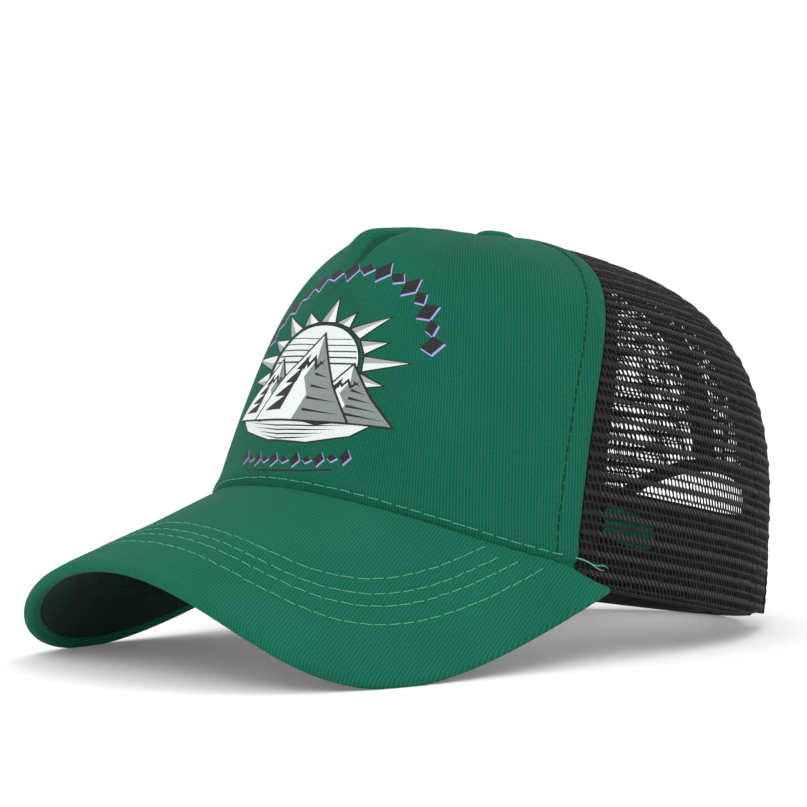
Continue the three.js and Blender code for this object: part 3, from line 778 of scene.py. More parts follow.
def plastic_finish(name, colour, roughness, grain):
    """Moulded plastic: fine spark texture, faint scuffs and flow lines."""
    finish = Finish(name, roughness, specular=0.5)
    where = finish.place()
    spark = finish.noise(where, grain, 3)
    scuffs = finish.noise(where, 0.5, 5, (0.12, 1, 1.4))
    tint = finish.shaded(colour, 0.7, 1.35, finish.weighted((spark, 0.35), (scuffs, 0.65)))
    rough = finish.math("ADD", finish.math("MULTIPLY", scuffs, 0.3), roughness - 0.12)
    finish.feed(finish.shader.inputs["Roughness"], rough)
    return finish.finish(tint, spark, 0.25, 0.05)


def metal_finish():
    """Pressed button back: turned rings, dull with handling."""
    finish = Finish("button_back_metal", 0.38, metallic=1.0)
    where = finish.place()
    x, y, _ = finish.split(where)
    away = finish.math("SUBTRACT", y, BUTTON_PLATE_Y)
    radius = finish.math("SQRT", finish.weighted((x, x), (away, away)))
    stain = finish.noise(where, 0.35, 4)
    colour = finish.blend(stain, (0.42, 0.42, 0.41), (0.68, 0.68, 0.67))
    rough = finish.math("ADD", finish.math("MULTIPLY", stain, 0.35), 0.2)
    finish.feed(finish.shader.inputs["Roughness"], rough)
    return finish.finish(colour, finish.wave(radius, 0.5), 0.15, 0.04)


GREEN_DARK = (0.0025, 0.066, 0.037)
GREEN_LIGHT = (0.0115, 0.142, 0.086)
panel_twill = twill("green_twill_panel", GREEN_DARK, GREEN_LIGHT, 0.0, 0.97, 0.7, contrast=0.58, waver=0.15)
# The brim's twill is the crown's green made 12% lighter: painted light on the brim's cloth.
BRIM_LIT_GREENS = [tuple(1.12 * part for part in colour) for colour in (GREEN_DARK, GREEN_LIGHT)]
BRIM_BIAS = -19.5 * DEGREE
lit_brim_twill = twill("green_twill_brim_painted_light", *BRIM_LIT_GREENS, BRIM_BIAS, 1.0, 0.75)
# The brim's underside is the same green cloth as its top, coloured near-black: painted shade under the brim.
painted_shade_under_twill = twill("brim_lining_twill_painted_shade", (0.004, 0.016, 0.012), (0.016, 0.042, 0.034), BRIM_BIAS, 0.9, 0.7)
BAND_BIAS = 50 * DEGREE
band_twill = twill("sweatband_twill", (0.006, 0.006, 0.006), (0.035, 0.035, 0.036), BAND_BIAS, 0.7, 0.5, 0.1)
mint_thread = thread_finish("mint_thread", (0.1, 0.37, 0.26))
dark_thread = thread_finish("dark_thread", (0.003, 0.012, 0.009))
black_thread = thread_finish("black_thread", (0.012, 0.012, 0.012))
net_yarn = knit_finish("knitted_net", (0.003, 0.003, 0.0035), (0.021, 0.021, 0.022))
# The loops are the same black yarn as the net, coloured lighter: painted highlight on the raised loops.
highlighted_loop_yarn = knit_finish("knitted_loops_painted_highlight", (0.016, 0.016, 0.016), (0.075, 0.075, 0.073))
black_tape = tape_finish("black_woven_tape", (0.005, 0.005, 0.005), (0.027, 0.027, 0.028), 0.6)
buckram = buckram_finish()
strap_plastic = plastic_finish("strap_plastic", (0.005, 0.005, 0.0055), 0.4, 2.2)
board_plastic = plastic_finish("brim_board_plastic", (0.55, 0.55, 0.53), 0.55, 1.2)
button_metal = metal_finish()


def dress(piece, finish, slot, body, *replaced):
    """Gives a piece its material and its place on a body, and hides the CAD nodes it stands for."""
    piece.data.materials.clear()
    piece.data.materials.append(finish)
    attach(piece, body)
    if replaced:
        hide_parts(*replaced)
    return piece


# ---------------------------------------------------------------- crown cloth

rng = np.random.default_rng(7)
front_flat = FlatPanel(lambda u: u * 0)
side_flats = {
    side: FlatPanel(lambda u, side=side: side * (front_seam(u) + SIDE_SEAM) / 2) for _, side in SIDES
}
rear_flats = {
    side: FlatPanel(lambda u, side=side: side * (SIDE_SEAM + REAR_SEAM) / 2 + u * 0) for _, side in SIDES
}


def front_weave(phi, u):
    """Weave of the front cloth: each half's ribs run beside its middle, and the dart takes up the rest."""
    flat = front_flat.pattern(phi, u)
    upright = RIB_UPRIGHT + 0 * phi
    taken = front_flat.pattern(upright, 0 * u)[..., 0] - front_flat.pattern(upright, u)[..., 0]
    width = mix(RIB_UPRIGHT, DART_WIDTH, smooth(u, 0.45, 0.8))
    side = np.sign(phi) * smooth(np.abs(phi), 0, width)
    lean = np.sign(phi) * smooth(np.abs(phi), 0, RIB_UPRIGHT) * RIB_LEAN * flat[..., 1]
    flat[..., 0] += side * taken + lean
    return flat


def radius_about_button(phi, u):
    point = face_point(phi, u)
    return np.hypot(point[..., 0], point[..., 1] - APEX_Y)


def top_sag(phi, u):
    """The cloth lies flatter over the top than the crown's surface, between its side seams and the button."""
    reach = radius_about_button(phi, u)
    edge = (front_seam(u) - np.abs(phi)) * reach
    return TOP_SAG * smooth(CROWN_HEIGHT * u, 88, 102) * smooth(reach, 8, 16) * smooth(edge, 4, 16)


def front_relief(phi, u):
    """How far the front cloth stands out: dart folds at the top, felled side seams, full lower edge."""
    point = face_point(phi, u)
    x = point[..., 0]
    z = point[..., 2]
    reach = radius_about_button(phi, u)
    edge = (front_seam(u) - np.abs(phi)) * reach
    base = z - np.interp(np.abs(phi), HEM_ANGLES, BRIM_TOP_LINE)
    folds = smooth(z, 80, 97) * smooth(reach, 6, 13) * humps(x, DART_HUMPS)
    corner = hump(x, *DART_CORNER_ACROSS) * hump(z, *DART_CORNER_UP) * (1 - 0.75 * smooth(x, -2.5, 1.5))
    dart = folds - top_sag(phi, u) + DART_CORNER * corner
    ridge = FELL_RISE * smooth(-edge, -7.2, -4.6) * smooth(z, -5, 12)
    seam = ridge - FELL_GROOVE * hump(edge, FELL_WIDTH, 0.6) - SEAM_ROLL * np.exp(-edge / 0.7)
    uneven = 0.3 * np.sin(phi * 7 + 0.6) * np.sin(z / 13 + 0.4) + 0.18 * np.sin(phi * 17 + z / 19)
    uneven = uneven * smooth(reach, 8, 30) * smooth(edge, 2, 16)
    return dart + seam + humps(base, BASE_HUMPS) + uneven


def front_surface(across, z, lift):
    """A point of the front cloth from millimetres across its middle and the height up the crown."""
    u = np.asarray(z, float) / CROWN_HEIGHT
    phi = front_flat.lookup(front_flat.to_phi, u, across, front_flat.across[0], front_flat.across[-1])
    return crown(phi, u, front_relief(phi, u) + lift)


def crown_sheet(name, start, end, bottom, top_spread, rows, columns, weave, outer_lift, inner_lift):
    phi, u = crown_columns(start, end, bottom, top_spread, rows, columns)
    return shell(name, crown(phi, u, outer_lift(phi, u)), crown(phi, u, inner_lift(phi, u)), weave(phi, u))


def front_cloth():
    piece = crown_sheet(
        "front_cloth", lambda u: -front_seam(u) + SEAM_GAP, lambda u: front_seam(u) - SEAM_GAP,
        hem_height, PANEL_TOP, 170, 200, front_weave, front_relief,
        lambda phi, u: np.minimum(front_relief(phi, u), 0.2 - top_sag(phi, u)) - CLOTH,
    )
    return dress(piece, panel_twill, "green_twill", "cap", "front_panel")


def front_backing():
    def face(depth):
        return lambda phi, u: 0.12 * np.sin(phi * 23 + u * 9) * np.sin(u * 21) - depth - top_sag(phi, u)

    piece = crown_sheet(
        "front_backing", lambda u: -front_seam(u) * LINING_REACH, lambda u: front_seam(u) * LINING_REACH,
        lambda phi: hem_height(phi) + LINING_HEM, LINING_TOP, 90, 120, front_flat.pattern,
        *(face(depth) for depth in LINING_DEPTHS),
    )
    return dress(piece, buckram, "white_buckram", "cap", "front_lining")


front_cloth()
front_backing()


# ---------------------------------------------------------------- brim

def brim_relief(across, forward):
    """Sewn channels: the stitch rows pull the cloth down, and it stands full between them."""
    inset = brim_inset(across, forward)
    grooves = sum(hump(inset, row, 0.5) for row in BRIM_STITCH_INSETS)
    between = CHANNEL_FULLNESS * np.sin((inset - BRIM_STITCH_INSETS[3]) / CHANNEL_PITCH * math.pi) ** 2
    channels = between * smooth(inset, 14, 15) * (1 - smooth(inset, 28, 29))
    soft = 0.16 * np.sin(across / 15 + 1) * np.sin(forward / 12) + 0.1 * np.sin(across / 6.1 + forward / 9)
    return (channels - CHANNEL_GROOVE * grooves + soft * smooth(inset, 0, 5)) * smooth(inset, 0, 1.5)


def unshaped(*place):
    return 0


def brim_sheet(section, columns, relief):
    """Points and flat pattern of a brim layer, from its (along, lift, inset) rows."""
    turn = np.linspace(-math.pi / 2, math.pi / 2, columns)
    part = mix(turn / turn[-1], np.sin(turn), 0.4)
    rows = []
    flat = []
    for along, lift, inset in section:
        across, forward, raised = brim_row(part, along, lift, inset)
        rows.append(brim_point(across, forward, raised + relief(across, forward, along, lift)))
        flat.append(np.stack([across, forward], -1))
    return np.array(rows), np.array(flat)


def brim_cover():
    """The top cloth: rows over the top, round the rolled edge and a little way under it."""
    top_rows = 109
    turns = np.linspace(0, math.pi, 14)

    def section(radius):
        flat_top = [(along, BRIM_MIDDLE + radius, 0) for along in np.linspace(0, 1, top_rows + 1)[:-1]]
        lip = [(1, BRIM_MIDDLE + radius * math.cos(t), -radius * math.sin(t)) for t in turns]
        wrap = [(1, BRIM_MIDDLE - radius, inset) for inset in (0.8, 1.5, BRIM_WRAP)]
        return flat_top + lip + wrap

    def top_relief(across, forward, along, lift):
        return brim_relief(across, forward) if lift >= BRIM_TOP else 0

    outer, flat = brim_sheet(section(BRIM_EDGE_RADIUS), 280, top_relief)
    inner, _ = brim_sheet(section(BRIM_EDGE_RADIUS - BRIM_CLOTH), 280, unshaped)
    lip_rows = np.arange(top_rows, len(flat))
    flat[lip_rows, :, 1] += ((lip_rows - top_rows) * 0.55)[:, None]
    piece = shell("brim_cloth", outer, inner, flat)
    return dress(piece, lit_brim_twill, "green_twill", "cap", "brim_top_cover")


def even_section(lift, inset, rows):
    return [(along, lift, inset) for along in np.linspace(0, 1, rows)]


def brim_lining():
    def underside(across, forward, along, lift):
        inset = brim_inset(across, forward)
        grooves = sum(hump(inset, row, 0.7) for row in BRIM_STITCH_INSETS)
        return 0.15 * grooves + 0.25 * math.exp(-(1 - along) * 60)

    inset = BRIM_WRAP + LINING_OVERLAP
    upper, flat = brim_sheet(even_section(BRIM_BOTTOM + BRIM_CLOTH, inset, 60), 160, unshaped)
    lower, _ = brim_sheet(even_section(BRIM_BOTTOM, inset, 60), 160, underside)
    piece = shell("brim_underside_cloth", upper, lower, flat)
    return dress(piece, painted_shade_under_twill, "brim_lining", "cap", "brim_under_cover")


def brim_stiffener():
    """The stiff board that the brim's two cloths are sewn round; it closes with them at the ends."""
    upper, flat = brim_sheet(even_section(BRIM_TOP - BOARD_DEPTH, BOARD_INSET, 30), 120, unshaped)
    lower, _ = brim_sheet(even_section(BRIM_BOTTOM + BOARD_DEPTH, BOARD_INSET, 30), 120, unshaped)
    piece = shell("brim_stiffener", upper, lower, flat)
    return dress(piece, board_plastic, "brim_board", "cap", "brim_board")


brim_cover()
brim_lining()
brim_stiffener()


# ---------------------------------------------------------------- stitching

class Stitching:
    """Rows of stitches gathered into one mesh."""

    def __init__(self, name, finish, slot):
        self.name = name
        self.finish = finish
        self.slot = slot
        self.points = []
        self.quads = []
        self.pattern = []
        self.count = 0

    def add_tubes(self, centre, tangent, normal, radius):
        """Tubes [tube, ring, 3] of a radius [ring], each closed down at its ends."""
        tubes, rings = centre.shape[:2]
        turn = np.linspace(0, 2 * math.pi, THREAD_SIDES, endpoint=False)
        side = unit(np.cross(tangent, normal))
        up = unit(np.cross(side, tangent))
        ring = side[:, :, None, :] * np.cos(turn)[None, None, :, None]
        ring = ring + up[:, :, None, :] * (0.8 * np.sin(turn))[None, None, :, None]
        points = centre[:, :, None, :] + ring * radius[None, :, None, None]
        base = grid_quads(rings, THREAD_SIDES, wrap_columns=True)
        shifts = self.count + np.arange(tubes)[:, None, None] * rings * THREAD_SIDES
        run = run_along(centre, 1)
        flat = np.stack(np.broadcast_arrays(run[:, :, None], turn[None, None, :] * 0.25), -1)
        self.points.append(points.reshape(-1, 3))
        self.quads.append((base[None] + shifts).reshape(-1, 4))
        self.pattern.append(flat.reshape(-1, 2))
        self.count += tubes * rings * THREAD_SIDES

    def add_row(self, path, normals, pitch, gap, radius, sway):
        """Stitches laid along a path on a surface; their ends dive into the cloth."""
        travel = run_along(path)
        count = int(travel[-1] / pitch)
        if count < 1:
            return
        starts = (np.arange(count) + 0.5) * pitch - (pitch - gap) / 2 + rng.uniform(-0.18, 0.18, count)
        part = np.linspace(0, 1, 8)
        where = starts[:, None] + part[None, :] * (pitch - gap)
        centre = np.stack([np.interp(where, travel, path[:, k]) for k in range(3)], -1)
        normal = unit(np.stack([np.interp(where, travel, normals[:, k]) for k in range(3)], -1))
        tangent = unit(np.gradient(centre, axis=1))
        side = unit(np.cross(tangent, normal))
        bow = 1 - (2 * part - 1) ** 8
        slant = rng.uniform(-sway, sway, (count, 1)) * (2 * part - 1)[None, :]
        centre = centre + normal * (radius * 0.55 * bow - radius * 1.1 * (1 - bow))[None, :, None]
        centre = centre + side * (slant + rng.uniform(-sway, sway, (count, 1)) * 0.6)[..., None]
        self.add_tubes(centre, tangent, normal, radius * (0.55 + 0.45 * bow))

    def build(self):
        quads = np.concatenate(self.quads)
        pattern = np.concatenate(self.pattern)
        piece = make_mesh(self.name, stand(np.concatenate(self.points)), quads, pattern=pattern)
        return dress(piece, self.finish, self.slot, "cap")


def crown_path(phi, u, lift):
    return crown(phi, u, lift), outward(phi, u)


def brim_seam_line():
    phi = np.linspace(-BRIM_SEAM_REACH, BRIM_SEAM_REACH, 400)
    across, forward, _ = brim_meets_crown(phi, np.full(400, BRIM_TOP))
    return across, forward


def brim_stitch_rows(stitches, lift, relief):
    seam_across, seam_forward = brim_seam_line()
    theta = np.linspace(-math.pi / 2, math.pi / 2, 900)
    for inset in BRIM_STITCH_INSETS:
        across, forward = brim_outline(theta, inset)
        clear = forward > np.interp(across, seam_across, seam_forward) + 1.2
        across = across[clear]
        forward = forward[clear]
        height = lift + relief(across, forward)
        path = brim_point(across, forward, height)
        normals = unit(brim_point(across, forward, height + 0.1) - path)
        stitches.add_row(path, normals if lift >= BRIM_TOP else -normals, *BRIM_STITCH)


def mint_stitching():
    stitches = Stitching("mint_stitching", mint_thread, "green_twill")
    brim_stitch_rows(stitches, BRIM_TOP + 0.05, brim_relief)
    phi = np.linspace(-68.5 * DEGREE, 68.5 * DEGREE, 700)
    u = (np.interp(np.abs(phi), HEM_ANGLES, BRIM_TOP_LINE) + BASE_STITCH_RISE) / CROWN_HEIGHT
    stitches.add_row(*crown_path(phi, u, front_relief(phi, u) + 0.05), *BASE_STITCH)
    loose_tails(stitches)
    return stitches.build()


def loose_tails(stitches):
    """The base row's thread runs on over the net as two loose tails."""
    base = float(np.interp(TAIL_START, HEM_ANGLES, BRIM_TOP_LINE)) + BASE_STITCH_RISE
    for reach, drop, wave in TAILS:
        part = np.linspace(0, 1, 40)
        phi = TAIL_START + reach * part
        z = base - drop * part + 0.6 * np.sin(part * wave) * part
        lift = 0.35 + 0.7 * np.sin(part * math.pi) + 0.3 * part
        centre, normal = crown_path(phi, z / CROWN_HEIGHT, lift)
        tangent = unit(np.gradient(centre, axis=0))
        taper = np.where(part > 0.92, 0.6, 1.0) * TAIL_RADIUS
        stitches.add_tubes(centre[None], tangent[None], normal[None], taper)


def dark_stitching():
    stitches = Stitching("dark_stitching", dark_thread, "black_tape")
    lowest = float(np.interp(FRONT_SEAM, HEM_ANGLES, BRIM_TOP_LINE)) + 2.6
    u = np.linspace(lowest / CROWN_HEIGHT, 0.985, 540)
    for side in (1, -1):
        edge = FELL_WIDTH / np.maximum(radius_about_button(side * front_seam(u), u), 12)
        phi = side * (front_seam(u) - edge)
        stitches.add_row(*crown_path(phi, u, front_relief(phi, u) + 0.04), *SEAM_STITCH)
    brim_stitch_rows(stitches, BRIM_BOTTOM - 0.02, unshaped)
    return stitches.build()


mint_stitching()
dark_stitching()


# ---------------------------------------------------------------- knitted net

def cell_outline():
    """Twelve points round a cell of half size 1 x 1: corners, and points between them on the long sides."""
    half = [(-1, -1), (0, -1), (1, -1), (1, -0.5), (1, 0), (1, 0.5)]
    return np.array(half + [(-x, -y) for x, y in half], float)


def net_panel(name, node, side, start, end, bottom, flat):
    """Knitted net: rows of cells in pairs, each cell a ring of yarn round a slanted hole."""
    outline = cell_outline()
    turn = np.arctan2(outline[:, 1], outline[:, 0])
    rows = np.arange(-6, int(flat.climb[-1] / CELL_HEIGHT) + 1)
    columns = np.arange(-48, 49)
    row, column = (grid.ravel() for grid in np.meshgrid(rows, columns, indexing="ij"))
    paired = np.where(row % 2 == 0, ROW_PAIRING, -ROW_PAIRING) * CELL_HEIGHT
    up = (row + 0.5) * CELL_HEIGHT
    across = (column + ROW_STAGGER * (row % 2)) * CELL_WIDTH
    u = flat.height(up)
    phi = flat.angle(across, up)
    half = 0.5 * CELL_WIDTH / np.maximum(radius_about_button(phi, u), 4)
    low = np.minimum(start(u) * side, end(u) * side)
    high = np.maximum(start(u) * side, end(u) * side)
    angle = phi * side
    inside = (angle > low - half) & (angle < high + half) & (spread_at(phi, u) > PANEL_TOP)
    inside &= u + 0.5 * CELL_HEIGHT / CROWN_HEIGHT > bottom(phi) / CROWN_HEIGHT
    across, up, paired, row = (values[inside][:, None] for values in (across, up, paired, row))
    count = len(across)
    jitter = rng.normal(0, HOLE_JITTER, (count, 2))
    hole_x = HOLE_HALF_WIDTH * np.cos(turn) - side * HOLE_SLANT * np.sin(turn) + jitter[:, :1]
    hole_y = HOLE_HALF_HEIGHT * np.sin(turn) + jitter[:, 1:] + paired
    hole_x = hole_x * (1 + rng.normal(0, HOLE_WIDTH_SPREAD, (count, 1)))
    box_x = outline[:, 0] * CELL_WIDTH / 2
    box_y = outline[:, 1] * CELL_HEIGHT / 2
    ripple = rng.normal(0, NET_RIPPLE, (count, 1))
    layers = []
    for part, lift, share in CELL_RINGS:
        point_up = up + mix(box_y, hole_y, part)
        point_u = flat.height(point_up)
        point_phi = flat.angle(across + mix(box_x, hole_x, part), point_up) * side
        point_phi = side * np.clip(point_phi, start(point_u) * side, end(point_u) * side)
        point_u = np.maximum(point_u, bottom(point_phi) / CROWN_HEIGHT)
        layers.append(crown(point_phi, point_u, lift + share * ripple))
    points = np.stack(layers, 1)
    ring_count, side_count = points.shape[1:3]
    base = grid_quads(ring_count, side_count, wrap_columns=True)
    quads = (base[None] + (np.arange(count) * ring_count * side_count)[:, None, None]).reshape(-1, 4)
    points = points.reshape(-1, 3)
    corners = points[quads]
    area = np.linalg.norm(np.cross(corners[:, 2] - corners[:, 0], corners[:, 3] - corners[:, 1]), axis=-1)
    braided = row[:, 0] % 2 == 0
    bar = up[braided, 0] - CELL_HEIGHT / 2
    yarn_points, yarn_quads = net_yarns(across[braided, 0], bar, side, start, end, bottom, flat)
    loops = make_mesh(name + "_loops", stand(yarn_points), yarn_quads)
    dress(loops, highlighted_loop_yarn, "black_net", "cap")
    piece = make_mesh(name, stand(points), quads[area > 1e-4])
    return dress(piece, net_yarn, "black_net", "cap", node)


def net_yarns(across, up, side, start, end, bottom, flat):
    """Slanted loops of yarn, side by side along the wider bar between every second row of holes."""
    rings = 5
    sides = 4
    part = np.linspace(-1, 1, rings)
    path_across = across[:, None] - side * LOOP_SLANT * part[None, :]
    path_up = up[:, None] + LOOP_HALF_LENGTH * part[None, :]
    u = flat.height(path_up)
    phi = flat.angle(path_across, path_up)
    plain_edge = PLAIN_EDGE / np.maximum(radius_about_button(phi, u), 20)
    keep = (phi * side > start(u) * side + plain_edge).all(1) & (phi * side < end(u) * side - 0.004).all(1)
    keep &= (u * CROWN_HEIGHT > bottom(phi) + 0.3).all(1) & (spread_at(phi, u) > PANEL_TOP + 0.02).all(1)
    phi = phi[keep]
    u = u[keep]
    centre = crown(phi, u, 0.1)
    normal = outward(phi, u)
    across_yarn = unit(np.cross(unit(np.gradient(centre, axis=1)), normal))
    width = (LOOP_RADIUS * (1 - 0.5 * part ** 4))[None, :, None, None]
    turn = (np.linspace(0, 2 * math.pi, sides, endpoint=False) + math.pi / 4)[None, None, :, None]
    ring = (across_yarn[:, :, None] * np.cos(turn) + normal[:, :, None] * np.sin(turn)) * width
    sink = (LOOP_SINK * part ** 4)[None, :, None, None]
    points = centre[:, :, None] + ring - normal[:, :, None] * sink
    base = grid_quads(rings, sides, wrap_columns=True)
    quads = (base[None] + (np.arange(len(points)) * rings * sides)[:, None, None]).reshape(-1, 4)
    return points.reshape(-1, 3), quads


def rear_bottom(phi):
    return np.where(np.abs(phi) > REAR_SEAM - ARCH_HALF_ANGLE, arch_height(phi, 0.35), hem_height(phi))


def nets():
    for label, side in SIDES:
        net_panel(
            "knit_side_" + label, "net_side_" + label, side,
            lambda u: side * (front_seam(u) + SEAM_GAP), lambda u: side * (SIDE_SEAM - SEAM_GAP) + 0 * u,
            hem_height, side_flats[side],
        )
        net_panel(
            "knit_rear_" + label, "net_rear_" + label, side,
            lambda u: side * (SIDE_SEAM + SEAM_GAP) + 0 * u, lambda u: side * (REAR_SEAM - SEAM_GAP) + 0 * u,
            rear_bottom, rear_flats[side],
        )


nets()


# ---------------------------------------------------------------- tapes, sweatband and arch binding

def strip_profile(part, puff):
    """Soft face of a flat tape: full between its two stitch lines, thin at its edges."""
    return puff * (1 - np.abs(part) ** 8) - 0.6 * puff * hump(np.abs(part), TAPE_STITCH_ROW, 0.09)


def seam_tape(name, node, centre, bottom, tape_stitches):
    columns = 25
    part = np.linspace(-1, 1, columns)
    start, end = (lambda u, turn=turn: centre(u) + turn for turn in (-TAPE_HALF_ANGLE, TAPE_HALF_ANGLE))
    phi, u = crown_columns(start, end, bottom, TAPE_TOP, 150, columns)
    outer = crown(phi, u, -TAPE_DEPTHS[0])
    inner = crown(phi, u, -TAPE_DEPTHS[1] - strip_profile(part, TAPE_PUFF))
    width = part * TAPE_HALF_ANGLE * radius_about_button(phi, u)
    piece = shell(name, outer, inner, np.stack([width, run_along(outer)], -1))
    for row in (-TAPE_STITCH_ROW, TAPE_STITCH_ROW):
        j = np.abs(part - row).argmin()
        tape_stitches.add_row(inner[:, j], -outward(phi[:, j], u[:, j]), *TAPE_STITCH)
    return dress(piece, black_tape, "black_tape", "cap", node)


def capped(name, rings, hubs, pattern=None):
    """A closed body from rings [ring, point, 3] in metres, with each end filled about its hub."""
    count, sides = rings.shape[:2]
    i = np.arange(sides)
    caps = [
        np.stack([np.full(sides, count * sides + end), first + i, first + (i + 1) % sides], -1)
        for end, first in enumerate((0, (count - 1) * sides))
    ]
    points = np.concatenate([rings.reshape(-1, 3), hubs])
    quads = grid_quads(count, sides, wrap_columns=True)
    return outward_faces(make_mesh(name, points, quads, np.concatenate(caps), pattern))


def swept(name, rings, pattern):
    """A closed section carried along a path: rings [step, section point, 3], capped at both ends."""
    hubs = np.array([rings[0].mean(0), rings[-1].mean(0)])
    flat = np.concatenate([pattern.reshape(-1, 2), pattern[0, :1], pattern[-1, :1]])
    return capped(name, stand(rings), stand(hubs), flat)


def rounded_section(height, thickness, count=12):
    """Height and depth of a strip's section, round at both edges."""
    radius = thickness / 2
    rise = np.linspace(radius, height - radius, count)
    turns = [(radius * math.sin(t), radius * math.cos(t)) for t in np.linspace(0, math.pi, 9)]
    front = [(z, 0.0) for z in rise[:-1]]
    over = [(height - radius + out, radius - back) for out, back in turns]
    behind = [(z, thickness) for z in rise[::-1][1:-1]]
    under = [(radius - out, radius + back) for out, back in turns[:-1]]
    return np.array(front + over + behind + under)


def sweatband(band_stitches):
    reach = REAR_SEAM - ARCH_HALF_ANGLE + 1.5 * DEGREE
    phi = np.linspace(-reach, reach, 420)
    section = rounded_section(BAND_HEIGHT, BAND_THICKNESS)
    level = section[:, 0]
    inward = (section[:, 1] > 0.7) * 1.0
    base = hem_height(phi) + TAPE_HEM
    height = base[:, None] + level[None, :]
    full = np.sin(level / BAND_HEIGHT * math.pi)
    wrinkle = 0.16 * np.sin(phi * 37)[:, None] * full[None, :]
    wrinkle = wrinkle + 0.1 * np.sin(phi * 91 + 1)[:, None] * np.sin(level / 9)[None, :]
    rows = sum(hump(level, row, 0.8) for row in BAND_ROWS)
    depth = BAND_DEPTH + section[:, 1] + (0.45 * full - 0.25 * rows + wrinkle) * inward
    rings = crown(phi[:, None], height / CROWN_HEIGHT, -depth)
    travel = phi[:, None] * PATTERN_PER_RADIAN + 0 * height
    piece = swept("sweatband_cloth", rings, np.stack([travel, height], -1))
    for row in BAND_ROWS:
        u = (base + row) / CROWN_HEIGHT
        band_stitches.add_row(crown(phi, u, -BAND_STITCH_DEPTH), -outward(phi, u), *BAND_STITCH)
    return dress(piece, band_twill, "sweatband_cloth", "cap", "sweatband")


def arch_binding(tape_stitches):
    """A tape folded over the arch's edge, with a stitch row through both of its legs."""
    turns = np.linspace(0, math.pi, 13)
    middle = BINDING_WIDTH / 2

    def side_points(radius, puff):
        leg = np.linspace(BINDING_WIDTH, 0, 9)[:-1]
        wave = strip_profile((leg - middle) / middle, puff)
        down = [(m, BINDING_MIDDLE - radius - w) for m, w in zip(leg, wave)]
        fold = [(-radius * math.sin(t), BINDING_MIDDLE - radius * math.cos(t)) for t in turns]
        rise = [(m, BINDING_MIDDLE + radius + w) for m, w in zip(leg[::-1], wave[::-1])]
        return down + fold + rise

    def arch(sweep, margin):
        phi = REAR_SEAM - (ARCH_HALF_ANGLE + margin / HEM_PER_RADIAN) * np.cos(sweep)
        return phi, (HEM_LEVEL + (ARCH_HEIGHT + margin) * np.sin(sweep)) / CROWN_HEIGHT

    outer, inner = (side_points(*fold) for fold in BINDING_FOLDS)
    section = np.array(outer + inner[::-1])
    sweep = np.linspace(0, math.pi, 220)[:, None]
    rings = crown(*arch(sweep, section[None, :, 0]), -section[None, :, 1])
    flat = np.stack(np.broadcast_arrays(run_along(section)[None, :], sweep * ARCH_PER_RADIAN), -1)
    piece = swept("arch_binding_tape", rings, flat)
    phi, u = arch(np.linspace(0.05, math.pi - 0.05, 400), BINDING_ROW)
    for facing in (1, -1):
        path = crown(phi, u, facing * BINDING_ROW_LIFT - BINDING_MIDDLE)
        tape_stitches.add_row(path, facing * outward(phi, u), *BINDING_STITCH)
    return dress(piece, black_tape, "black_tape", "cap", "arch_binding")


def hem_turnings():
    """The net's hem, turned in under the sweatband's lower edge as a flat roll."""
    turn = np.linspace(0, 2 * math.pi, 12, endpoint=False)[None, :]
    for label, side in SIDES:
        phi = side * np.linspace(69.8 * DEGREE, REAR_SEAM - ARCH_HALF_ANGLE - 1.2 * DEGREE, 260)[:, None]
        height = hem_height(phi) + ROLL_HALF_HEIGHT + ROLL_HALF_HEIGHT * np.sin(turn)
        depth = ROLL_DEPTH + ROLL_HALF_DEPTH * np.cos(turn) + 0.06 * np.sin(phi * 150)
        rings = crown(phi, height / CROWN_HEIGHT, -depth)
        flat = np.stack(np.broadcast_arrays(turn, phi * PATTERN_PER_RADIAN), -1)
        dress(swept("hem_turning_" + label, rings, flat), black_tape, "black_net", "cap")


def inner_trim():
    def tape_foot(phi):
        return hem_height(phi) + TAPE_HEM

    def over_arch(phi):
        return HEM_LEVEL + ARCH_HEIGHT + ARCH_TAPE_GAP + 0 * phi

    stitches = Stitching("tape_stitching", black_thread, "black_tape")
    seam_tape("rear_tape", "tape_rear", lambda u: REAR_SEAM + 0 * u, over_arch, stitches)
    for label, side in SIDES:
        seams = (("front", lambda u: side * front_seam(u)), ("side", lambda u: side * SIDE_SEAM + 0 * u))
        for seam, centre in seams:
            seam_tape("%s_tape_%s" % (seam, label), "tape_%s_%s" % (seam, label), centre, tape_foot, stitches)
    sweatband(stitches)
    arch_binding(stitches)
    hem_turnings()
    stitches.build()


def seam_allowance():
    """The green end of the front panel's seam allowance, tucked between net and sweatband on each side."""
    part = np.linspace(0, 1, 40)[None, :]
    rise = np.linspace(-1, 1, 16)[:, None]
    half = ALLOWANCE_HALF_HEIGHT * np.sqrt(np.maximum(0.02, 1 - part ** 5))
    height = ALLOWANCE_LEVEL - ALLOWANCE_DROP * part + rise * half
    wave = 0.15 * np.sin(part * 9 + rise)
    flat = np.stack(np.broadcast_arrays(part * 18, height), -1)
    for label, side in SIDES:
        phi = side * (ALLOWANCE_START + ALLOWANCE_LENGTH * part) * DEGREE
        faces = (crown(phi, height / CROWN_HEIGHT, wave - depth) for depth in ALLOWANCE_DEPTHS)
        dress(shell("seam_allowance_" + label, *faces, flat), lit_brim_twill, "green_twill", "cap")


inner_trim()
seam_allowance()


# ---------------------------------------------------------------- button

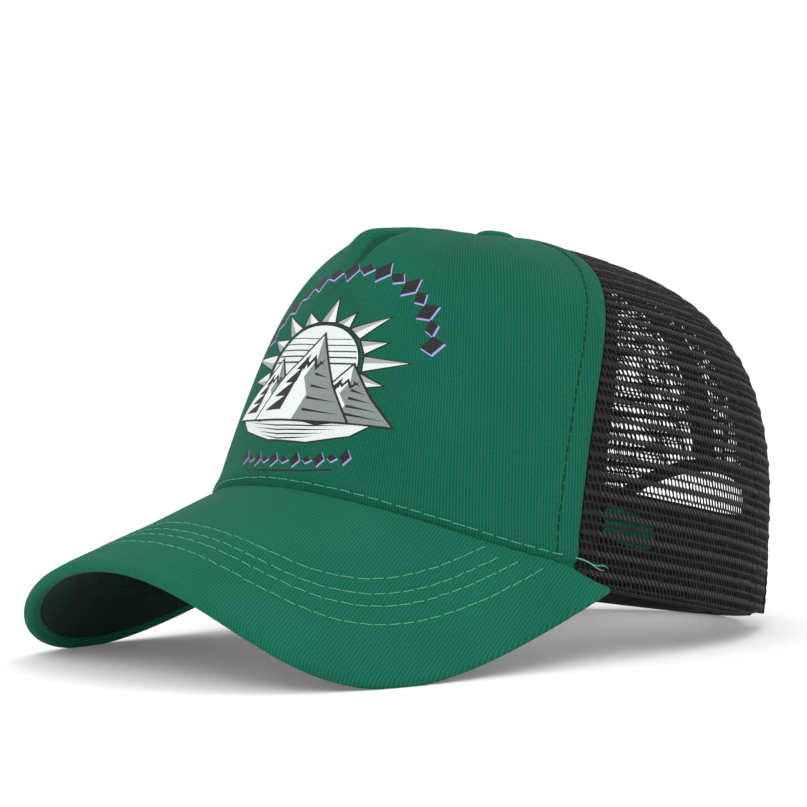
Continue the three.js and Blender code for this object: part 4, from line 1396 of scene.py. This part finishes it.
def button():
    """Cloth-covered button: a low dome with the cloth gathered under its edge."""
    turn = np.linspace(0, 2 * math.pi, 96, endpoint=False)[None, :]
    part = np.linspace(0.03, 1, 34)[:, None]
    climb = part * 0.62 * math.pi
    gather = 0.14 * np.sin(turn * BUTTON_GATHERS + 0.8 * np.sin(turn * 3)) * smooth(part, 0.62, 1)
    tucked = 4.4 * np.maximum(climb - math.pi / 2, 0) ** 2
    radius = BUTTON_RADIUS * np.sin(np.minimum(climb, math.pi / 2)) - tucked + gather
    height = BUTTON_SEAT + BUTTON_RISE * np.cos(climb) + 0.1 * np.sin(turn * 2)
    height = CROWN_HEIGHT + np.maximum(height, BUTTON_UNDERSIDE)
    rings = np.stack([radius * np.cos(turn), APEX_Y + radius * np.sin(turn), height], -1)
    levels = (BUTTON_SEAT + BUTTON_RISE, BUTTON_UNDERSIDE)
    hubs = np.array([(0, APEX_Y, CROWN_HEIGHT + level) for level in levels])
    spread = part * BUTTON_CLOTH_RADIUS
    flat = np.stack([spread * np.cos(turn), spread * np.sin(turn)], -1).reshape(-1, 2)
    piece = capped("button_cloth", stand(rings), stand(hubs), np.concatenate([flat, np.zeros((2, 2))]))
    return dress(piece, panel_twill, "green_twill", "cap", "button_cap")


button()


# ---------------------------------------------------------------- snap strap

def strap_depth(side, from_centre):
    overlap = STRAP_OUTER_DEPTH if side > 0 else STRAP_INNER_DEPTH
    part = (STRAP_ROOT - from_centre) / (STRAP_ROOT - STRAP_PAST_CENTRE)
    return mix(STRAP_ROOT_DEPTH, overlap, smooth(part, 0, 1))


def strap_point(side, from_centre, z, depth):
    """A point of a strap half, from its angle past the rear centre, its height and its depth."""
    phi = REAR_SEAM - side * from_centre
    rim = crown(phi, 0 * phi, -depth)
    rim[..., 2] = z
    return rim


def strap_section():
    """Height from -1 to 1 and depth from 0 to 1 round the strap, with a raised rim along each edge."""
    rise = np.linspace(-STRAP_EDGE, STRAP_EDGE, 41)
    rim = STRAP_RIM * (smooth(np.abs(rise), 0.8, 0.86) - smooth(np.abs(rise), 0.9, 0.98))
    turns = np.linspace(0, math.pi, 9)[1:-1]
    edge = [(STRAP_EDGE + (1 - STRAP_EDGE) * math.sin(t), 0.5 * math.cos(t)) for t in turns]
    outer = [(z, -r) for z, r in zip(rise, rim)]
    top = [(z, 0.5 - back) for z, back in edge]
    inner = [(z, 1.0) for z in rise[::-1]]
    under = [(-z, 0.5 + back) for z, back in edge]
    return np.array(outer + top + inner + under)


def snaps(side):
    """Centre of each snap on a strap half, in metres."""
    for snap in range(SNAP_COUNT):
        from_centre = np.array([(snap - 1) * SNAP_STEP])
        depth = strap_depth(side, from_centre)
        yield stand(strap_point(side, from_centre, np.array([STRAP_MIDDLE_Z]), depth))[0]


def turned_rings(profile, sides, base):
    """Rings in metres about a snap [profile point, side, 3], from (radius, height) in millimetres."""
    turn = np.linspace(0, 2 * math.pi, sides, endpoint=False)[:, None]
    sideways = np.array([1.0, 0, 0])
    spokes = np.cos(turn) * sideways + np.sin(turn) * np.cross(REARWARD, sideways)
    return np.array([base + REARWARD * height * MM + spokes * radius * MM for radius, height in profile])


def turned_piece(name, profile, sides, base):
    rings = turned_rings(profile, sides, base)
    return capped(name, rings, rings[[0, -1]].mean(1))


def join(pieces, name):
    """One object from several, by their meshes."""
    work = bmesh.new()
    for piece in pieces:
        work.from_mesh(piece.data)
    mesh = bpy.data.meshes.new(name)
    work.to_mesh(mesh)
    work.free()
    for piece in pieces:
        bpy.data.objects.remove(piece)
    joined = bpy.data.objects.new(name, mesh)
    scene.collection.objects.link(joined)
    return joined


def cut(piece, cutters):
    """Cuts closed bodies out of a piece."""
    tool = join(cutters, "cutter")
    modifier = piece.modifiers.new("cut", "BOOLEAN")
    modifier.object = tool
    modifier.operation = "DIFFERENCE"
    modifier.solver = "EXACT"
    evaluated = piece.evaluated_get(bpy.context.evaluated_depsgraph_get())
    mesh = bpy.data.meshes.new_from_object(evaluated)
    piece.modifiers.clear()
    piece.data = mesh
    bpy.data.objects.remove(tool)
    return piece


def strap_blank(name, side):
    end_radians = STRAP_HALF_HEIGHT / HEM_HALF_WIDTH
    round_end = -STRAP_PAST_CENTRE + end_radians * (1 - np.cos(np.linspace(0.12, math.pi / 2, 22)))
    straight = np.linspace(-STRAP_PAST_CENTRE + end_radians, STRAP_ROOT, 110)[1:]
    from_centre = np.concatenate([round_end, straight])[:, None]
    into_end = np.minimum(1, (from_centre + STRAP_PAST_CENTRE) / end_radians)
    half = np.maximum(0.6, STRAP_HALF_HEIGHT * np.sqrt(1 - (1 - into_end) ** 2))
    return strap_bar(name, side, from_centre, half, strap_depth(side, from_centre))


def strap_bar(name, side, from_centre, half_height, depth):
    """A length of strap, from columns of places, half heights and depths along it."""
    section = strap_section()
    height = STRAP_MIDDLE_Z + half_height * section[None, :, 0] + 0 * from_centre
    rings = strap_point(side, from_centre + 0 * height, height, depth + STRAP_THICKNESS * section[None, :, 1])
    flat = np.stack([from_centre * PATTERN_PER_RADIAN + 0 * height, height], -1)
    return swept(name, rings, flat)


def collar_profile():
    """The raised lip round a hole: a half oval, with a point sunk in the strap."""
    half = COLLAR_WIDTH / 2
    turns = np.linspace(0, math.pi, 9)
    lip = [(HOLE_RADIUS + half - half * math.cos(t), 0.4 * math.sin(t) - 0.12) for t in turns]
    return lip + [(HOLE_RADIUS + 0.5, -0.5)]


def strap_with_holes():
    bore = [(HOLE_RADIUS, -5), (HOLE_RADIUS, 4)]
    centres = list(snaps(1))
    piece = cut(strap_blank("strap_holes", 1), [turned_piece("hole", bore, 48, base) for base in centres])
    piece = join([piece] + [ring_piece("collar", collar_profile(), 48, base) for base in centres],
                 "strap_half_with_holes")
    return finish_plastic(piece, "strap_left_half", "strap_left")


def ring_piece(name, profile, sides, base):
    """A closed ring, from a closed profile of (radius, height) in millimetres about a snap."""
    points = np.swapaxes(turned_rings(profile, sides, base), 0, 1)
    quads = grid_quads(sides, len(profile), wrap_rows=True, wrap_columns=True)
    return outward_faces(make_mesh(name, points, quads))


def strap_with_pins():
    """The half with pins: each a stem on a short foot, with a domed head that snaps through its hole."""
    neck = PIN_RADIUS - 0.1
    turns = np.linspace(0, math.pi / 2 - 0.08, 8)
    dome = [(PIN_HEAD_RADIUS * math.cos(t), 1.35 + 0.55 * math.sin(t)) for t in turns]
    profile = [(PIN_RADIUS, -0.5), (PIN_RADIUS, 0.02), (neck, 0.5), (neck, 0.95), (1.9, 1.15)] + dome
    pins = [turned_piece("pin", profile, 40, base) for base in snaps(-1)]
    piece = join([strap_blank("strap_pins", -1)] + pins, "strap_half_with_pins")
    return finish_plastic(piece, "strap_right_half", "strap_right")


def strap_tabs():
    from_centre = np.linspace(*TAB_REACH, 60)[:, None] * DEGREE
    half_height = TAB_HEIGHT * STRAP_HALF_HEIGHT
    for label, side in SIDES:
        name = "strap_tab_" + label
        piece = strap_bar(name + "_moulded", side, from_centre, half_height, STRAP_ROOT_DEPTH)
        finish_plastic(piece, "cap", name)


def finish_plastic(piece, body, node):
    for polygon in piece.data.polygons:
        polygon.use_smooth = True
    piece.data.set_sharp_from_angle(angle=35 * DEGREE)
    return dress(piece, strap_plastic, "strap_plastic", body, node)


strap_with_holes()
strap_with_pins()
strap_tabs()
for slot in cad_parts["button_back"].material_slots:
    slot.material = button_metal


# ---------------------------------------------------------------- print on the front panel

class Print:
    """Flat shapes in one ink, laid on the front cloth."""

    def __init__(self, name, finish, lift, stretch=(1, 1), shift=(0, 0)):
        self.name = name
        self.finish = finish
        self.lift = lift
        self.stretch = np.array(stretch)
        self.shift = np.array(shift)
        self.flat = []
        self.tris = []
        self.count = 0

    def add(self, outline):
        """An outline of (across, height) points in millimetres, filled with small triangles."""
        outline = np.asarray(outline, float) * self.stretch + self.shift
        following = np.roll(outline, -1, axis=0)
        edge = []
        for start, end in zip(outline, following):
            steps = max(1, int(np.linalg.norm(end - start) / EDGE_STEP))
            edge += [mix(start, end, k / steps) for k in range(steps)]
        low = outline.min(0) + FILL_STEP / 2
        columns, rows = (np.arange(low[k], outline.max(0)[k], FILL_STEP) for k in (0, 1))
        inside = [(x, z) for x in columns for z in rows if point_inside((x, z), outline)]
        points = [Vector(p) for p in edge + inside]
        ring = list(range(len(edge)))
        found = delaunay_2d_cdt(points, [], [ring], 1, 1e-5)
        self.flat.append(np.array([tuple(p) for p in found[0]]))
        self.tris.append(np.array([list(f) for f in found[2]]) + self.count)
        self.count += len(found[0])

    def build(self):
        flat = np.concatenate(self.flat)
        points = front_surface(flat[:, 0], flat[:, 1], self.lift)
        piece = make_mesh(self.name, stand(points), tris=np.concatenate(self.tris), pattern=flat)
        return dress(piece, self.finish, "green_twill", "cap")


def point_inside(point, outline):
    """Whether a point lies inside, by the edges that a line from it to the right crosses."""
    x, z = point
    across, up = outline.T
    end_across, end_up = np.roll(outline, -1, axis=0).T
    crosses = (up > z) != (end_up > z)
    run = (end_across - across) * (z - up) / np.where(crosses, end_up - up, 1) + across
    return np.count_nonzero(crosses & (x < run)) % 2 == 1


def grown(outline, by):
    """The outline moved outwards by a distance."""
    outline = np.asarray(outline, float)
    before = unit(outline - np.roll(outline, 1, axis=0))
    after = unit(np.roll(outline, -1, axis=0) - outline)
    area = np.sum(outline[:, 0] * np.roll(outline[:, 1], -1) - np.roll(outline[:, 0], -1) * outline[:, 1])
    turn = 1 if area > 0 else -1
    normals = [turn * np.stack([d[:, 1], -d[:, 0]], -1) for d in (before, after)]
    middle = unit(normals[0] + normals[1])
    reach = by / np.maximum((middle * normals[0]).sum(-1, keepdims=True), 0.45)
    return outline + middle * reach


def oval(x, z, half_width, half_height, count=48):
    turn = np.linspace(0, 2 * math.pi, count, endpoint=False)
    return np.stack([x + half_width * np.cos(turn), z + half_height * np.sin(turn)], -1)


def compass(angle):
    return np.array([math.cos(angle), math.sin(angle)])


def lozenge(x, z, half_width, half_height, lean):
    """A four-cornered mark about a centre, turned by an angle."""
    points = np.array([(-1, 0), (0, -1), (1, 0), (0, 1)]) * (half_width, half_height)
    turn = np.array([[math.cos(lean), math.sin(lean)], [-math.sin(lean), math.cos(lean)]])
    return points @ turn + (x, z)


def panel_print():
    """A sun over three peaks, with a band of lozenges above and below."""
    emblem = [
        Print("print_" + name, ink("ink_" + name, colour), lift, *EMBLEM) for name, colour, lift in EMBLEM_INKS
    ]
    black, pale, grey, line = emblem
    marks = Print("print_marks", black.finish, MARK_LIFT)
    edge = Print("print_edge", ink("ink_edge", EDGE_VIOLET), EDGE_LIFT)
    sun_rays(black, pale, grey)
    sun_disc(black, pale, line)
    for peak in PEAKS:
        mountain(*peak)
    hill_front(black, pale, line)
    lozenge_bands(marks, edge)
    for layer in [edge, marks] + emblem:
        layer.build()


def sun_rays(black, pale, grey):
    """Long and short rays in turn, each with a grey half, all round but for the foot."""
    for k in range(RAY_COUNT):
        turn = (k + 0.5) / RAY_COUNT * 2 * math.pi
        if math.sin(turn) < -0.35:
            continue
        foot = [compass(turn + s) * RAY_FOOT for s in (-RAY_HALF_ANGLE, RAY_HALF_ANGLE)]
        ray = np.array([foot[0], compass(turn) * RAY_LENGTHS[k % 2], foot[1]]) + (0, SUN_Z)
        black.add(grown(ray, 0.55))
        pale.add(ray)
        grey.add(np.array([mix(ray[0], ray[2], 0.55), ray[1], ray[2]]))


def sun_disc(black, pale, line):
    sun = oval(0, SUN_Z, *SUN_HALF_SIZE)
    black.add(grown(sun, 0.65))
    pale.add(sun)
    for k in range(5):
        rise = 2.2 + k * 1.9
        half = (SUN_HALF_SIZE[0] - 0.3) * math.sqrt(1 - (rise / SUN_HALF_SIZE[1]) ** 2)
        low = SUN_Z + rise
        high = low + 0.5 - k * 0.07
        line.add([(-half, low), (half, low), (half - 0.3, high), (-half + 0.3, high)])


def hill_front(black, pale, line):
    """The pale ground before the peaks, with four tapering strokes."""
    black.add(grown(HILL, 0.5))
    pale.add(HILL)
    for k in range(4):
        z = 31.0 - k * 1.3
        half = 19 - k * 3.2
        line.add([(half * part, z + rise) for part, rise in HILL_STROKE])


def lozenge_bands(marks, edge):
    """An arc of lozenges above the emblem, and a row with a rule below it, each with a pale violet edge."""
    for k in range(ARC_COUNT):
        turn = mix(160, 17, k / (ARC_COUNT - 1)) * DEGREE
        centre = compass(turn) * ARC_RADII + ARC_CENTRE
        half_width, half_heights = ARC_LOZENGE
        shape = lozenge(*centre, half_width, half_heights[k % 2], turn - math.pi / 2)
        edge.add(grown(shape, 0.15) + (0.5, -0.45))
        marks.add(shape)
    for k in range(ROW_COUNT):
        x = mix(-15, 27, k / (ROW_COUNT - 1))
        half_width, half_heights = ROW_LOZENGE
        shape = lozenge(x, bent(ROW_LEVEL, x), half_width, half_heights[k % 2], 0)
        edge.add(grown(shape, 0.12) + (0.4, -0.35))
        marks.add(shape)
    rule = [(x, bent(RULE_LEVEL, x)) for x in np.linspace(-13, 24, 14)]
    marks.add(rule + [(x, z + RULE_WIDTH) for x, z in reversed(rule)])


def bent(level, x):
    """A row's height, rising a little away from the middle."""
    return level + (x / 30) ** 2 * ROW_BEND


def mountain(x, top, half):
    """One peak: black outline, pale lit side, grey shaded side with black strokes, and a snow line."""
    tag = "_%d" % round(x + 50)
    lifted = TALLEST_LIFT if top == max(peak[1] for peak in PEAKS) else 0.0
    height = top - PEAK_FOOT
    layers = [
        Print("peak_" + part + tag, ink("peak_" + part + tag, colour), lift + lifted, *EMBLEM)
        for part, colour, lift in PEAK_INKS
    ]
    outline, lit, shade, strokes = layers

    def placed(shape):
        return [(x + half * across, PEAK_FOOT + height * up) for across, up in shape]

    face = placed(((-1, 0),) + FACE_RIGHT + ((0, 1),) + FACE_LEFT)
    outline.add(grown(face, 0.6))
    lit.add(face)
    shade.add(placed(RIDGE + FACE_RIGHT))
    near = x + half * 0.12
    for k in range(5):
        level = PEAK_FOOT + height * (0.08 + k * 0.14)
        strokes.add([(near, level + 1.5), (x + half * (0.86 - k * 0.15), level), (near, level + 0.7)])
    for k in range(4):
        level = PEAK_FOOT + height * (0.1 + k * 0.16)
        reach = half * (0.78 - k * 0.16)
        tip = (x - reach * 0.35, level + height * 0.2)
        strokes.add([(x - reach, level), tip, (x - reach * 0.45, level + 0.3)])
    strokes.add(placed(SNOW_LINE))
    for layer in layers:
        layer.build()


panel_print()


# ---------------------------------------------------------------- stage, light and camera

def stage():
    corners = [(-1, -1), (1, -1), (1, 1), (-1, 1)]
    corners = [(x * FLOOR_HALF_SIZE, y * FLOOR_HALF_SIZE, 0) for x, y in corners]
    paper = bpy.data.meshes.new("floor")
    paper.from_pydata(corners, [], [(0, 1, 2, 3)])
    floor = bpy.data.objects.new("floor", paper)
    scene.collection.objects.link(floor)
    finish = Finish("floor_paper", 0.9, specular=0.1)
    tint = finish.shaded((0.93, 0.93, 0.93), 0.99, 1.01, finish.noise(finish.place(), 0.02, 3))
    finish.feed(finish.shader.inputs["Base Color"], tint)
    finish.shader.inputs["Emission Color"].default_value = (1, 1, 1, 1)
    finish.shader.inputs["Emission Strength"].default_value = FLOOR_GLOW
    floor.data.materials.append(finish.material)
    floor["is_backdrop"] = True


def area_light(name, place, size, power):
    light = bpy.data.lights.new(name, "AREA")
    light.shape = "DISK"
    light.size = size
    light.energy = power
    lamp = bpy.data.objects.new(name, light)
    lamp.location = place
    lamp.rotation_euler = (Vector(LIGHT_TARGET) - Vector(place)).to_track_quat("-Z", "Y").to_euler()
    scene.collection.objects.link(lamp)


def lighting():
    world = bpy.data.worlds.new("studio")
    world.use_nodes = True
    background = world.node_tree.nodes["Background"]
    background.inputs["Color"].default_value = (1, 1, 1, 1)
    background.inputs["Strength"].default_value = SKY_STRENGTH
    scene.world = world
    for light in LIGHTS:
        area_light(*light)
    scene.view_settings.view_transform = "Standard"


def camera():
    data = bpy.data.cameras.new("camera")
    data.lens = LENS
    data.sensor_width = SENSOR
    data.clip_end = 30
    eye = bpy.data.objects.new("camera", data)
    eye.location = CAMERA_PLACE
    eye.rotation_euler = CAMERA_TURN
    scene.collection.objects.link(eye)
    scene.camera = eye


stage()
lighting()
camera()

visual_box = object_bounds()
boxes = {"cad": cad_box, "visual": visual_box}
{name: [list(corner) for corner in box] for name, box in boxes.items()}
